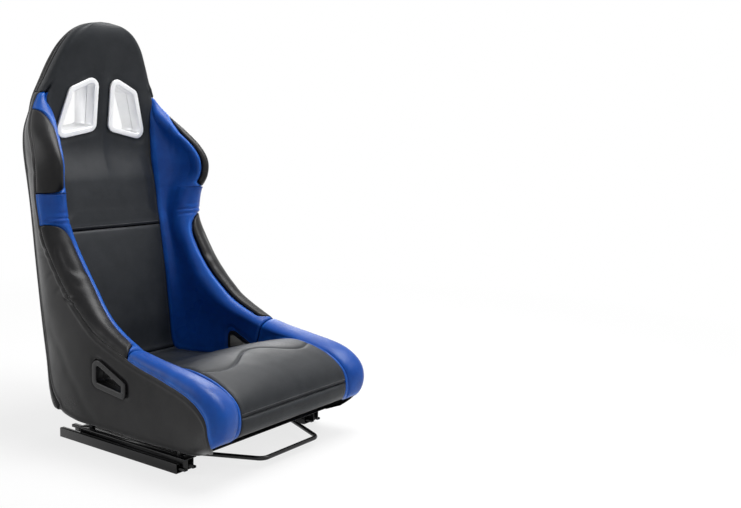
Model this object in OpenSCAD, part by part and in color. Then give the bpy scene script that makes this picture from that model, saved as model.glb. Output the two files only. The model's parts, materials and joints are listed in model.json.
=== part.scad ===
// Fixed-back bucket seat on a pair of sliding floor rails.
// The seat faces -Y, +Z is up, and z = 0 is the floor under the rails.
// x = 0 is the plane of symmetry; the sitter's left side is +X.
// The origin is the centre of the four floor bolt holes.

/* [Seat size] */
// Overall width across the shoulder wings
seat_w = 512; // [470:1:560]
// Overall height from the floor to the top of the head section
seat_h = 955; // [900:1:1000]
// Overall depth from the nose of the cushion to the back panel
seat_d = 690; // [640:1:730]
// How far the cushions and pads swell between their seams
puff = 5; // [2:0.5:8]
// Depth to which the covers are drawn in along a seam
draw_in = 2.5; // [1:0.5:4]
// Rise of the seat cushion from its sides to its middle
cushion_crown = 9; // [4:1:14]

/* [Shell] */
// Thickness of the padded outer cover
cover_t = 4.6; // [3:0.2:4.8]
// Thickness of the moulded shell
shell_t = 4; // [3:0.5:5]
// Radius of the rear and lower corners
corner_r = 26; // [20:1:32]
// Radius of the corners under the seat
base_r = 12; // [10:1:14]

/* [Belt openings] */
// Width of the flange round a shoulder opening
harness_flange = 13; // [10:0.5:15]
// Width of the flange round a lap opening
lap_flange = 13; // [10:0.5:14]
// Wall of the bezel tubes
bezel_wall = 2.6; // [2:0.2:3.4]

/* [Rails] */
// How far in from the side of the seat the middle of a rail lies
rail_inset = 44; // [42:0.5:49]
// Length of a fixed floor rail
rail_len = 376; // [360:1:400]
// Width of a floor rail
rail_w = 44; // [43:0.5:46]
// Height of a floor rail
rail_h = 21; // [20.5:0.1:21.5]
// Length of the upper rail that carries the seat
upper_len = 340; // [325:1:350]
// Diameter of the floor bolt holes
floor_hole = 8.5; // [8.4:0.1:9]
// Distance between the front and the rear floor bolt holes
floor_pitch = 330; // [320:1:336]
// Distance between the front and the rear seat bolts
seat_bolt_pitch = 280; // [270:1:290]

/* [Release handle] */
// Diameter of the handle's rod
bar_d = 10; // [8:0.5:11]
// Straight width of the handle's front run
bar_w = 184; // [160:1:200]
// How far the handle's front run stands ahead of the origin
bar_reach = 303; // [290:1:308]
// Diameter of the pivot pins
pin_d = 6; // [5:0.5:6.5]

/* [Hidden] */
$fn = 48;
gap = 0.3;
rail_gap = seat_w - 2 * rail_inset;
half_w = rail_w / 2;
rider_y = -37;        // middle of the upper rails, seat bolts and plates
slide_y = -95;        // handle pivot
pawl_y = -20;         // pawl pivot
pivot_z = 20;         // height of the handle's rod and pivot
pawl_z = 24.5;        // height of the pawl pivot
pin_clear = 0.06;     // radial running clearance on the pins
steel_t = 2.2;        // rail steel
plate_t = 3;          // latch and bracket steel
shell_gap = 1;        // between the covers and the shell
pad_gap = 2.7;        // between the shell and the pads
pad_t = cover_t + shell_gap + shell_t + pad_gap;

// ---------------------------------------------------------------- lines plan
// Each row is one cross-section of the left half, from the nose of the seat,
// along the base, round the hip and up the back to the top of the head.
// A is the outer corner, E the crest of the side wall and D the seam between
// the side pad and the middle pad. b_out and b_back place the outer seam from
// the crest, and c_in and c_back the inner end of the crest's roll.
//   A_x   A_y  A_z    E_x   E_y  E_z   b_out b_back c_in c_back  D_x   D_y  D_z
LINES = [
    [204, -242,  47,   208, -276,  54,    6,   8,   14,   5,   182, -272,  58],
    [214, -236,  44,   226, -314,  91,   18,  22,   30,  10,   180, -311,  93],
    [221, -228,  42,   230, -325, 133,   26,  36,   38,  14,   179, -319, 130],
    [226, -212,  41,   230, -309, 172,   26,  34,   42,  14,   179, -303, 168],
    [229, -178,  41,   231, -256, 199,   23,  26,   40,  14,   180, -245, 199],
    [230, -110,  41,   228, -166, 215,   18,  20,   38,  14,   181, -160, 212],
    [230,  -40,  41,   226,  -82, 230,   16,  18,   38,  18,   184,  -75, 191],
    [229,   40,  41,   224,   -7, 256,   18,  20,   40,  24,   182,   15, 158],
    [228,  140,  41,   218,   50, 286,   24,  24,   42,  34,   176,   90, 139],
    [218,  225,  46,   212,   88, 320,   30,  28,   42,  42,   150,  170, 137],
    [209,  266,  78,   206,  118, 352,   36,  32,   42,  46,   138,  206, 150],
    [205,  283, 150,   204,  149, 390,   38,  34,   41,  48,   138,  222, 235],
    [205,  299, 245,   204,  177, 430,   38,  34,   38,  46,   142,  240, 335],
    [205,  322, 388,   204,  200, 472,   38,  34,   36,  46,   148,  268, 462],
    [205,  336, 483,   208,  206, 506,   35,  34,   34,  46,   152,  280, 501],
    [205,  344, 540,   215,  200, 546,   31,  44,   30,  44,   154,  288, 543],
    [205,  352, 585,   225,  182, 585,   25,  58,   22,  40,   154,  296, 585],
    [205,  360, 626,   226,  182, 625,   24,  60,   22,  38,   153,  302, 626],
    [204,  365, 661,   220,  204, 661,   24,  52,   25,  36,   155,  307, 661],
    [198,  369, 697,   205,  240, 697,   26,  42,   29,  36,   157,  311, 697],
    [184,  370, 735,   184,  281, 735,   22,  28,   23,  24,   157,  311, 735],
    [169,  370, 772,   172,  312, 772,    8,  12,    9,   8,   162,  310, 772],
    [150,  366, 814,   152,  310, 814,    3,  10,   10,   5,   142,  307, 814],
    [131,  359, 858,   131,  303, 858,    3,  10,   10,   5,   121,  300, 858],
    [110,  348, 898,   110,  296, 898,    3,  10,   10,   5,   100,  293, 898],
    [ 83,  336, 929,    84,  294, 929,    3,  10,   10,   5,    74,  291, 929],
    [ 52,  324, 947,    53,  297, 947,    2,   8,    8,   4,    45,  294, 947],
    [ 14,  316, 955,    14,  303, 955,    1,   5,    4,   2,    10,  301, 955],
];
ENDS = len(LINES) - 1;
scale_x = seat_w / 512;
scale_y = seat_d / 690;
scale_z = seat_h / 955;
SCALE = [
    scale_x, scale_y, scale_z, scale_x, scale_y, scale_z,
    scale_x, 1, scale_x, 1, scale_x, scale_y, scale_z,
];
ROWS = [for (r = LINES) [for (k = [0:12]) r[k] * SCALE[k]]];

// Seams, as places along the lines plan
S_NOSE = 0.3;         // lower end of the side cover
S_BLUE = 1;           // lower end of the thigh bolster
S_FRONT = 2.12;       // seam between the cushion and its front face
S_THIGH = 6.42;       // seam between the thigh bolster and the wing pad
S_CUSHION = 9.85;     // back end of the seat cushion
S_BACK = 9.9;        // lower end of the back pads
S_MID = 12.98;        // horizontal seam across the back
S_SHOULDER = 15.22;   // lower end of the shoulder edge pad
S_TIP = 20.2;         // upper end of the shoulder edge pad
S_WAIST = 13.85;      // upper end of the waist edge pad
S_HEAD = 21.25;       // seam between the side covers and the head band
S_HEM = 9;         // lower hem of the back cover
P_REAR = 0.62;        // seam between the back cover and the side cover
P_BASE = 0.47;        // lower hem of the side cover, under the seat

// The sections and corner points that covers, shell and pads share
SEAMS = [S_WAIST, S_WAIST + 0.02, S_SHOULDER - 0.02, S_SHOULDER, S_TIP, S_TIP + 0.02];
GRID = [for (k = [0:2 * ENDS]) let (s = k / 2) each concat(
    s == floor(s) || s < 3 || (s > 6 && s < 11) || (s > 13 && s < 16) || s > 16.5 ? [s] : [],
    [for (e = SEAMS) if (e > s && e < s + 0.5) e])];
CORNER = [0.4, 0.45, 0.5, 0.55, 0.6];

// ------------------------------------------------------------------ formulas
function mix(a, b, t) = a + (b - a) * t;
function clamp01(t) = min(max(t, 0), 1);
function smooth(t) = let (u = clamp01(t)) u * u * (3 - 2 * u);
function unit(v) = v / max(norm(v), 0.001);

// A smooth curve through the rows at the place s
function lines(s) =
    let (i = min(max(floor(s), 0), ENDS - 1))
    let (u = s - i)
    let (p0 = ROWS[max(i - 1, 0)])
    let (p1 = ROWS[i])
    let (p2 = ROWS[i + 1])
    let (p3 = ROWS[min(i + 2, ENDS)])
    (2 * p1 + (p2 - p0) * u + (2 * p0 - 5 * p1 + 4 * p2 - p3) * u * u
        + (3 * p1 - p0 - 3 * p2 + p3) * u * u * u) / 2;

// A point of a section: x across, and h up the side wall from corner to crest
function place(r, x, h) =
    let (d = unit([r[4] - r[1], r[5] - r[2]]))
    [x, r[1] + d[0] * h, r[2] + d[1] * h];
function wall_h(r) = norm([r[4] - r[1], r[5] - r[2]]);

// The outer face: p = 0 in the middle, 0.4 to 0.6 round the corner and 1 at
// the outer seam, at the depth t under the surface
function outer(s, p, t = 0, drop = 0) =
    let (r = lines(s))
    let (q = abs(p))
    let (side = p < 0 ? -1 : 1)
    let (hh = wall_h(r))
    let (rad = min(mix(base_r, corner_r, smooth((s - 8.5) / 2)), 0.3 * hh, 0.8 * r[0]))
    let (rt = max(rad - t, 1))
    let (ax = r[0] - t)
    let (crown = 9 * smooth((s - 10) / 2) * clamp01(r[0] / 150))
    let (bx = r[3] + r[6] - t)
    let (hb = hh - r[7])
    let (u = q < 0.4 ? q / 0.4 : q < 0.6 ? (q - 0.4) / 0.2 : (q - 0.6) / 0.4)
    let (h = mix(t + rt, hb - drop, u))
    let (w = (h - t - rt) / (hb - t - rt))
    q < 0.4 ? place(r, side * (ax - rt) * u, t - crown * (1 - u * u))
    : q < 0.6 ? place(r, side * (ax - rt + rt * sin(90 * u)), t + rt - rt * cos(90 * u))
    : place(r, side * (mix(ax, bx, w) + 5 * sin(180 * w) * clamp01(hh / 150)), h);

// The roll of the side wall's crest: q = 0 at the outer seam, 1 at its inner end
function crest(s, q) =
    let (r = lines(s))
    let (hh = wall_h(r))
    let (a = 180 * clamp01(q))
    q < 0.5
        ? place(r, r[3] + r[6] * cos(a), hh - r[7] * (1 - sin(a)))
        : place(r, r[3] + r[8] * cos(a), hh - r[9] * (1 - sin(a)));
function seam_d(s) = let (r = lines(s)) [r[10], r[11], r[12]];

// The inner face: v = 0 in the middle, 1 at the seam D, 2 at the inner end of
// the roll and 3 at the outer seam
function hollow(s) = 6 * smooth((s - 6) / 3) * (1 - smooth((s - 19) / 2.5));
function inner(s, v) =
    let (q = abs(v))
    let (side = v < 0 ? -1 : 1)
    let (d = seam_d(s))
    let (c = crest(s, 1))
    let (pt = q <= 1 ? [d[0] * q, d[1], d[2]]
        : q < 2 ? mix(d, c, q - 1) + [hollow(s) * sin(180 * (q - 1)), hollow(s) * sin(180 * (q - 1)) * 0.5, 0]
        : crest(s, 3 - q))
    [side * pt[0], pt[1], pt[2]];

// The back of the pads, against the shell
base_rise = 5;
function rest(s, v) =
    let (q = abs(v))
    let (side = v < 0 ? -1 : 1)
    let (r = lines(s))
    let (t = pad_t + base_rise * (1 - smooth((s - 8.5) / 1.5)))
    let (flat = r[0] - corner_r)
    let (pd = 0.4 * min(r[10] / flat, 0.98))
    let (k = q < 2 ? 0.9 * (q - 1) : 0.9 + 0.1 * (q - 2))
    outer(s, side * (q <= 1 ? q * pd : mix(pd, 1, k)), t, 4);

// How far a pad swells at the place (u, v) between its seams
function swell(u, v, k = 6) =
    (1 - pow(abs(2 * u - 1), k)) * (1 - pow(abs(2 * v - 1), k));
function pad_point(s, v, u0, v0, lift) =
    let (a = inner(s, v))
    let (b = rest(s, v))
    a + unit(a - b) * (lift * swell(u0, v0) - draw_in * (1 - swell(u0, v0, 10)));

// ------------------------------------------------------------ solid builders
// A closed solid between two grids of points of the same size. Where the grids
// run from one side of the seat to the other, both halves are cut alike.
module slab(top, low, flip = false, whole = false) {
    m = len(top);
    n = len(top[0]);
    k = m * n;
    function id(i, j) = i * n + j;
    function quad(a, b, c, d, turn = false) = turn ? [[b, c, d], [b, d, a]] : [[a, b, c], [a, c, d]];
    function right(j) = whole && j < (n - 1) / 2;
    faces = [
        for (i = [0:m - 2]) for (j = [0:n - 2]) each concat(
            quad(id(i, j), id(i + 1, j), id(i + 1, j + 1), id(i, j + 1), right(j)),
            quad(k + id(i, j), k + id(i, j + 1), k + id(i + 1, j + 1), k + id(i + 1, j), right(j))),
        for (i = [0:m - 2]) each concat(
            quad(id(i, 0), k + id(i, 0), k + id(i + 1, 0), id(i + 1, 0)),
            quad(id(i, n - 1), id(i + 1, n - 1), k + id(i + 1, n - 1), k + id(i, n - 1))),
        for (j = [0:n - 2]) each concat(
            quad(id(0, j), id(0, j + 1), k + id(0, j + 1), k + id(0, j)),
            quad(id(m - 1, j), k + id(m - 1, j), k + id(m - 1, j + 1), id(m - 1, j + 1))),
    ];
    pts = concat([for (r = top) each r], [for (r = low) each r]);
    polyhedron(pts, flip ? [for (f = faces) [f[2], f[1], f[0]]] : faces, convexity = 8);
}

// Steps from a to b, and the shared sections from a to b
function steps(a, b, n) = [for (i = [0:n]) mix(a, b, i / n)];
function grid(a, b) = concat([a], [for (s = GRID) if (s > a + 0.12 && s < b - 0.12) s], [b]);

// A pad from s0 to s1 along the seat and v0 to v1 across it
module pad(s0, s1, v0, v1, nv, lift = puff) {
    vs = steps(0, 1, nv);
    slab([for (s = grid(s0, s1)) [for (w = vs) pad_point(s, mix(v0, v1, w), (s - s0) / (s1 - s0), w, lift)]],
        [for (s = grid(s0, s1)) [for (w = vs) rest(s, mix(v0, v1, w))]]);
}
module on_left(side) {
    if (side > 0) children();
    else mirror([1, 0, 0]) children();
}

// ------------------------------------------------------------ outlines
// A polygon with its corners rounded by arcs of the given radii
function arc_corner(a, b, c, r) =
    let (u = unit(a - b))
    let (w = unit(c - b))
    let (half = acos(u * w) / 2)
    let (reach = r / tan(half))
    let (mid = b + unit(u + w) * (r / sin(half)))
    let (p0 = b + u * reach - mid)
    let (p1 = b + w * reach - mid)
    let (a0 = atan2(p0[1], p0[0]))
    let (turn = atan2(p1[1], p1[0]) - a0)
    let (sweep = turn > 180 ? turn - 360 : turn < -180 ? turn + 360 : turn)
    [for (k = [0:5]) mid + r * [cos(a0 + sweep * k / 5), sin(a0 + sweep * k / 5)]];
function rounded(pts, r) =
    let (n = len(pts))
    [for (i = [0:n - 1]) each arc_corner(pts[(i + n - 1) % n], pts[i], pts[(i + 1) % n], r[i])];
// A clockwise outline moved outwards by d
function grown(pts, d) =
    let (n = len(pts))
    [for (i = [0:n - 1])
        let (u = unit(pts[(i + n - 1) % n] - pts[i]))
        let (w = unit(pts[(i + 1) % n] - pts[i]))
        let (half = acos(u * w) / 2)
        pts[i] - unit(u + w) * (d / sin(half))];

// Shoulder opening in its own tilted plane: x outwards and z up from its middle
harness_z = 760 * scale_z;
harness_tilt = 6;
HARNESS = [
    [31 * scale_x, 53 * scale_z],
    [92 * scale_x, 26 * scale_z],
    [124 * scale_x, -74 * scale_z],
    [31 * scale_x, -55 * scale_z],
];
// Lap opening, seen from the side: y to the rear and z up
LAP = [
    [48 * scale_y, 196 * scale_z],
    [48 * scale_y, 156 * scale_z],
    [-32 * scale_y, 146 * scale_z],
    [-32 * scale_y, 160 * scale_z],
];
module harness_outline(d, r) polygon(rounded(grown(HARNESS, d), [r, r, r, r]));
module lap_outline(d, r) polygon(rounded(grown(LAP, d), [r, r, r * 0.6, r * 0.6]));
module along_y(y0, y1) translate([0, y1, 0]) rotate([90, 0, 0]) linear_extrude(y1 - y0) children();
module along_x(x0, x1) translate([x0, 0, 0]) rotate([90, 0, 90]) linear_extrude(x1 - x0) children();

harness_y = 312 * scale_y;
harness_deep = 63 * scale_y;
harness_rear_y = 376 * scale_y;
lap_x = 240 * scale_x;
lap_in_x = 188 * scale_x;
lap_in_flange = 8;
module harness_frame() translate([0, harness_y, harness_z]) rotate([harness_tilt, 0, 0]) children();
module harness_cut(grow) {
    for (m = [0, 1]) mirror([m, 0, 0])
        harness_frame() along_y(-60, harness_deep + 40) harness_outline(grow, 8 + grow);
}
module lap_cut(grow) along_x(lap_in_x - 60, lap_x + 40) lap_outline(grow, 6 + grow);
// The pads' holes for the lap opening's inner bezel: its tube and its flange
module lap_pocket() {
    lap_cut(bezel_wall + 1.3);
    along_x(lap_in_x - 60, lap_in_x - 1.6) lap_outline(lap_in_flange + gap, 6 + lap_in_flange);
}
// The back pad's hole for a shoulder opening's front bezel
module harness_pocket() {
    harness_cut(bezel_wall + 1.95);
    for (m = [0, 1]) mirror([m, 0, 0])
        harness_frame() along_y(-40, 1.4) harness_outline(harness_flange + gap, 8 + harness_flange);
}

// ------------------------------------------------------------ covers and shell
module back_cover() color("#17181a") difference() {
    ps = concat([-P_REAR], [for (k = [4:-1:0]) -CORNER[k]], [-0.2, 0, 0.2], CORNER, [P_REAR]);
    slab([for (s = grid(S_HEM, ENDS)) [for (p = ps) outer(s, p, cover_t)]],
        [for (s = grid(S_HEM, ENDS)) [for (p = ps) outer(s, p)]]);
    harness_cut(harness_flange + 1);
}
module head_band() {
    right = grid(S_HEAD, ENDS);
    ps = concat([for (p = steps(P_REAR + 0.01, 1, 3)) [0, p]], [for (q = steps(0.25, 1, 3)) [1, q]]);
    // The inner skin lies under the outer one at the side, and towards the core
    // of the roll round the crest
    function skin(s, k, t) =
        let (w = smooth((s - 24) / 2))
        let (a = k[0] == 0 ? outer(s, k[1]) : crest(s, k[1]))
        let (core = (outer(s, 1) + crest(s, 1)) / 2 - [0, 0, 4 * max(s - 26.5, 0)])
        k[0] == 0 && k[1] < 1 ? outer(s, k[1], t * (1 - 0.5 * w)) - [0, 0, t * w]
        : a + (core - a) * min(0.4, t / norm(core - a)) * min(t, 1);
    function row(s, m, t) = [for (k = ps) let (a = skin(s, k, t)) [a[0] * m, a[1], a[2]]];
    arch = concat([for (s = right) [s, 1]], [for (i = [len(right) - 1:-1:0]) [right[i], -1]]);
    color("#1b1c1e") slab([for (a = arch) row(a[0], a[1], cover_t)], [for (a = arch) row(a[0], a[1], 0)]);
}
// The side cover turns under the seat as far as its hem
function hem_p(s) = mix(P_BASE, P_REAR, smooth((s - 7.8) / 1.2));
SIDE_P = [0, 0.5, 0.55, 0.6, 0.7, 0.8, 0.9, 1];
function side_p(s) = [for (k = [0:7]) max(SIDE_P[k], hem_p(s) + 0.004 + 0.012 * k)];
module side_cover() color("#1b1c1e") difference() {
    rows = grid(S_NOSE, S_HEAD - 0.02);
    slab([for (s = rows) [for (p = side_p(s)) outer(s, p, cover_t, 3)]],
        [for (s = rows) [for (p = side_p(s)) outer(s, p, 0, 0.3)]]);
    lap_cut(lap_flange + gap);
}
module structural_shell() color("#2b2c2e") {
    ps = concat([-1, -0.8], [for (k = [4:-1:0]) -CORNER[k]], [-0.2, 0, 0.2], CORNER, [0.8, 1]);
    t0 = cover_t + shell_gap;
    rows = [for (s = grid(0.6, ENDS - 3)) if (s * 2 == floor(s * 2) && s != 17.5 && s != 23.5) s];
    difference() {
        slab([for (s = rows) [for (p = ps) outer(s, p, t0 + shell_t, 10)]],
            [for (s = rows) [for (p = ps) outer(s, p, t0, 10)]], whole = true);
        harness_cut(4);
        lap_cut(4);
        mirror([1, 0, 0]) lap_cut(4);
        for_seat_bolts() translate([0, 0, 30]) cylinder(d = 8.6, h = 40);
    }
}

// ------------------------------------------------------------ pads and cushions
// The upper back pad dips to the shoulder bezels
function dimple(a) =
    let (u = (abs(a[0]) - 77 * scale_x) / (62 * scale_x))
    let (w = (a[2] - harness_z + 4) / (84 * scale_z))
    let (d = pow(pow(u, 4) + pow(w, 4), 0.25))
    let (y = harness_y - tan(harness_tilt) * (a[2] - harness_z) + 1.5)
    [a[0], mix(max(a[1], y), a[1], smooth((d - 0.95) / 0.25)), a[2]];
// Above the wing pads the upper back pad fills the whole front, inside the head band
function head(s) = s > S_HEAD ? 1 : 0;
module upper_back_pad() color("#232427") difference() {
    vs = steps(-1, 1, 14);
    s0 = S_MID + 0.02;
    s1 = ENDS - 1.3;
    rows = concat(grid(s0, S_HEAD - 0.01), grid(S_HEAD + 0.01, s1));
    slab([for (s = rows) [for (v = vs)
            dimple(pad_point(s, v * (1 - 0.02 * head(s) - 0.09 * smooth((s - 24) / 2)), (s - s0) / (s1 - s0), (v + 1) / 2, puff))]],
        [for (s = rows) [for (v = vs) rest(s, v * (1 + head(s) * (1.1 - 0.9 * smooth((s - 24) / 1.5))))]]);
    harness_pocket();
}
module lower_back_pad() color("#232427") pad(S_BACK, S_MID - 0.02, -1, 1, 12);

// Place of the seam between the wing pad and the edge pads: 2 at the inner end
// of the roll, 3 at the outer seam
function edge_width(s, a, b, ramp_a, ramp_b) = s < a || s > b ? 0
    : 0.25 + 0.42 * min(smooth((s - a) / ramp_a), smooth((b - s) / ramp_b));
function edge_v(s) = 3 - edge_width(s, S_SHOULDER, S_TIP, 0.7, 1.1)
    - edge_width(s, S_THIGH, S_WAIST, 0.3, 1.5);
WING_V = [1.006, 1.2, 1.4, 1.6, 1.8, 2];
function wing_v(s) = concat(WING_V, [for (w = [0.25, 0.5, 0.75, 1]) mix(2, edge_v(s) - 0.015, w)]);
module wing_pad() color("#1d3f9e") difference() {
    s0 = S_THIGH + 0.02;
    s1 = S_HEAD - 0.03;
    rows = grid(s0, s1);
    slab([for (s = rows) [for (v = wing_v(s)) pad_point(s, v, (s - s0) / (s1 - s0), (v - 1.006) / (edge_v(s) - 1.021), puff)]],
        [for (s = rows) [for (v = wing_v(s)) rest(s, v)]]);
    lap_pocket();
}
module edge_pad(s0, s1) {
    vs = steps(0, 1, 5);
    function at(s, w) = mix(edge_v(s) + 0.015, 2.998, w);
    function top(s, w) = pad_point(s, at(s, w), (s - s0) / (s1 - s0), w, puff * 0.6);
    function low(s, w) = mix(top(s, w), rest(s, at(s, w)), 0.15);
    slab([for (s = grid(s0, s1)) [for (w = vs) top(s, w)]],
        [for (s = grid(s0, s1)) [for (w = vs) low(s, mix(0.12, 0.97, w))]]);
}
module shoulder_edge_pad() color("#1b1c1e") edge_pad(S_SHOULDER + 0.02, S_TIP - 0.02);
module waist_edge_pad() color("#1b1c1e") edge_pad(S_THIGH + 0.02, S_WAIST - 0.02);
module thigh_bolster() color("#1d3f9e") difference() {
    pad(S_BLUE, S_THIGH - 0.02, 1.006, 3, 9);
    lap_pocket();
}

// The cushion's stitched channel waves across it
function channel(s, v) =
    let (y = lines(s)[11])
    let (line = (-200 + 24 * cos(270 * v)) * scale_y)
    4 * exp(-pow((y - line) / 7, 2));
module seat_cushion() {
    s0 = S_FRONT + 0.02;
    rows = concat(steps(s0, 4.5, 16), [for (s = GRID) if (s > 4.7 && s < S_CUSHION - 0.15) s], [S_CUSHION]);
    vs = steps(0, 1, 14);
    function top(s, w) =
        let (v = mix(-1, 1, w))
        let (a = pad_point(s, v, mix(0.06, 1, (s - s0) / (S_CUSHION - s0)), w, 1))
        a + [0, 0, cushion_crown * (1 - v * v) * smooth((s - 2) / 2) * (1 - smooth(s - 8.8)) - channel(s, v)];
    color("#232427") difference() {
        slab([for (s = rows) [for (w = vs) top(s, w)]],
            [for (s = rows) [for (w = vs) rest(s, mix(-1, 1, w))]]);
        for (m = [0, 1]) mirror([m, 0, 0]) lap_pocket();
    }
}
module cushion_front() color("#232427") pad(S_BLUE, S_FRONT - 0.02, -1, 1, 10, 3);

// ------------------------------------------------------------ bezels
module harness_bezel_front() color("#d9dadc") harness_frame() difference() {
    union() {
        along_y(-5, 1) harness_outline(harness_flange, 8 + harness_flange);
        along_y(0, 24) harness_outline(bezel_wall, 8 + bezel_wall);
    }
    along_y(-10, 30) harness_outline(0, 8);
}
module harness_bezel_rear() color("#d9dadc") difference() {
    union() {
        translate([0, harness_rear_y, harness_z + harness_deep * sin(harness_tilt)])
            rotate([harness_tilt / 4, 0, 0]) along_y(-2, 3) harness_outline(harness_flange, 8 + harness_flange);
        harness_frame() along_y(24.5, harness_deep) harness_outline(bezel_wall, 8 + bezel_wall);
    }
    harness_frame() along_y(20, harness_deep + 20) harness_outline(0, 8);
}
module belt_bezel_outer() color("#101112") difference() {
    union() {
        along_x(lap_x - 2, lap_x + 6) lap_outline(lap_flange, 6 + lap_flange);
        along_x(lap_x - 18, lap_x) lap_outline(bezel_wall, 6 + bezel_wall);
    }
    along_x(lap_x - 20, lap_x + 10) lap_outline(0, 6);
}
module belt_bezel_inner() color("#101112") difference() {
    union() {
        along_x(lap_in_x - 8, lap_in_x - 2) lap_outline(lap_in_flange, 6 + lap_in_flange);
        along_x(lap_in_x - 3, lap_x - 18.4) lap_outline(bezel_wall, 6 + bezel_wall);
    }
    along_x(lap_in_x - 20, lap_x) lap_outline(0, 6);
}

// ------------------------------------------------------------ rails and latch
module for_seat_bolts(sides = [-1, 1])
    for (x = sides, y = [-1, 1]) translate([x * rail_gap / 2, rider_y + y * seat_bolt_pitch / 2, 0]) children();

upper_top = 33.5;
lip_x = 11;
module lower_rail() color("#0c0d0e") difference() {
    translate([rail_gap / 2, rail_len / 2, 0]) rotate([90, 0, 0]) linear_extrude(rail_len) {
        translate([-half_w, 0]) square([rail_w, steel_t]);
        for (m = [0, 1]) mirror([m, 0]) {
            translate([half_w - steel_t, 0]) square([steel_t, rail_h]);
            translate([lip_x, rail_h - steel_t]) square([half_w - lip_x, steel_t]);
            translate([lip_x, rail_h - 6.5]) square([steel_t, 6.5]);
        }
    }
    for (y = [-1, 1])
        translate([rail_gap / 2, y * floor_pitch / 2, -1]) cylinder(d = floor_hole, h = steel_t + 2);
}
leg_x = 7.2;
hook_x = 17;
hook_z = 7.8;
module upper_rail() color("#0c0d0e") difference() {
    translate([rail_gap / 2, rider_y + upper_len / 2, 0]) rotate([90, 0, 0]) linear_extrude(upper_len) {
        translate([-hook_x, upper_top - steel_t]) square([2 * hook_x, steel_t]);
        for (m = [0, 1]) mirror([m, 0]) {
            translate([leg_x, hook_z]) square([2, upper_top - hook_z - steel_t / 2]);
            translate([leg_x, hook_z]) square([hook_x - leg_x, 2]);
            translate([hook_x - 2, hook_z]) square([2, 5]);
        }
    }
    for_seat_bolts([1]) cylinder(d = 8.6, h = 60);
}
roller_r = (hook_z - steel_t - 0.1) / 2;
ROLLER_Y = [-120, -20, 80];
module rollers() color("#a8abae")
    for (y = ROLLER_Y) translate([rail_gap / 2 - 15, y, steel_t + 0.05 + roller_r]) rotate([0, 90, 0]) cylinder(r = roller_r, h = 30);
module roller_cage() color("#c9c4b0") difference() {
    translate([rail_gap / 2 - 17.5, -140, steel_t + roller_r - 0.6]) cube([35, 240, 1.3]);
    for (y = ROLLER_Y) translate([rail_gap / 2 - 15.4, y - roller_r - 0.4, 0]) cube([30.8, 2 * roller_r + 0.8, 20]);
}
shell_low = 41 * scale_z + cover_t + shell_gap;
plate_z = shell_low + shell_t + gap;
module insert_plate() color("#8b8e92") difference() {
    translate([rail_gap / 2 - 14, rider_y - seat_bolt_pitch / 2 - 20, plate_z]) cube([19.6, seat_bolt_pitch + 40, 3]);
    for_seat_bolts([1]) cylinder(d = 8, h = 100);
}
module seat_spacers() color("#0c0d0e") for_seat_bolts() translate([0, 0, upper_top]) difference() {
    cylinder(d = 14, h = shell_low - upper_top - 0.8);
    translate([0, 0, -1]) cylinder(d = 8.6, h = 40);
}
module seat_bolts() color("#9a9da1") for_seat_bolts() {
    translate([0, 0, upper_top - steel_t - 5.6]) cylinder(d = 13, h = 5.4, $fn = 6);
    translate([0, 0, upper_top - steel_t - 1]) cylinder(d = 7.9, h = plate_z + 4 - upper_top + steel_t + 1);
}

// Latch: all its plates stand on the inner side of each rail
rack_in = half_w;              // rack, from the rail's middle towards the seat's middle
rack_t = 4;
rack_top = 14.6;
notch_pitch = 14;
plate_x = rail_gap / 2 - rack_in - rack_t;
module lock_rack() color("#0c0d0e") difference() {
    translate([plate_x, -130, 6]) cube([rack_t, 270, rack_top - 6]);
    for (k = [0:17]) translate([plate_x - 1, -120 + k * notch_pitch + 2, rack_top - 4.4]) cube([rack_t + 2, 8, 10]);
}
tab_x = plate_x - plate_t - 2;
module pivot_bracket() color("#0c0d0e") difference() {
    union() {
        translate([tab_x, slide_y - 14, upper_top - steel_t]) cube([rail_gap / 2 - hook_x - tab_x, 100, steel_t]);
        translate([tab_x, slide_y - 14, 11]) cube([plate_t, 100, upper_top - 11]);
    }
    for (p = [[slide_y, pivot_z], [pawl_y, pawl_z]])
        translate([tab_x - 1, p[0], p[1]]) rotate([0, 90, 0]) cylinder(d = pin_d, h = plate_t + 2);
}
lever_x = plate_x + 0.5;
lever_t = 3;
lever_r = 2;
module lever(points, eye, r, t) {
    translate([lever_x, 0, 0]) rotate([90, 0, 90]) linear_extrude(t) {
        for (i = [0:len(points) - 2]) strip(points[i], points[i + 1], r);
        for (p = points) translate(p) circle(r + 0.2);
        translate(eye) circle(pin_d / 2 + 2);
    }
}
module strip(a, b, r) translate(a) rotate(atan2(b[1] - a[1], b[0] - a[0])) translate([0, -r]) square([norm(b - a), 2 * r]);
module release_arm() color("#0c0d0e") difference() {
    lever([[slide_y - 34, pivot_z], [slide_y, pivot_z], [slide_y + 20, pivot_z + 6.5], [slide_y + 38, pivot_z + 9]], [slide_y, pivot_z], lever_r, lever_t);
    translate([0, slide_y, pivot_z]) rotate([0, 90, 0]) cylinder(d = pin_d + 2 * pin_clear, h = rail_gap);
}
module latch_pawl() color("#0c0d0e") difference() {
    union() {
        lever([[slide_y + 37.5, pawl_z], [pawl_y, pawl_z], [pawl_y + 42, pawl_z]], [pawl_y, pawl_z], lever_r, lever_t);
        translate([lever_x, pawl_y + 39, rack_top + 0.4]) cube([lever_t, 6, pawl_z - rack_top]);
    }
    translate([0, pawl_y, pawl_z]) rotate([0, 90, 0]) cylinder(d = pin_d + 2 * pin_clear, h = rail_gap);
}
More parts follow.
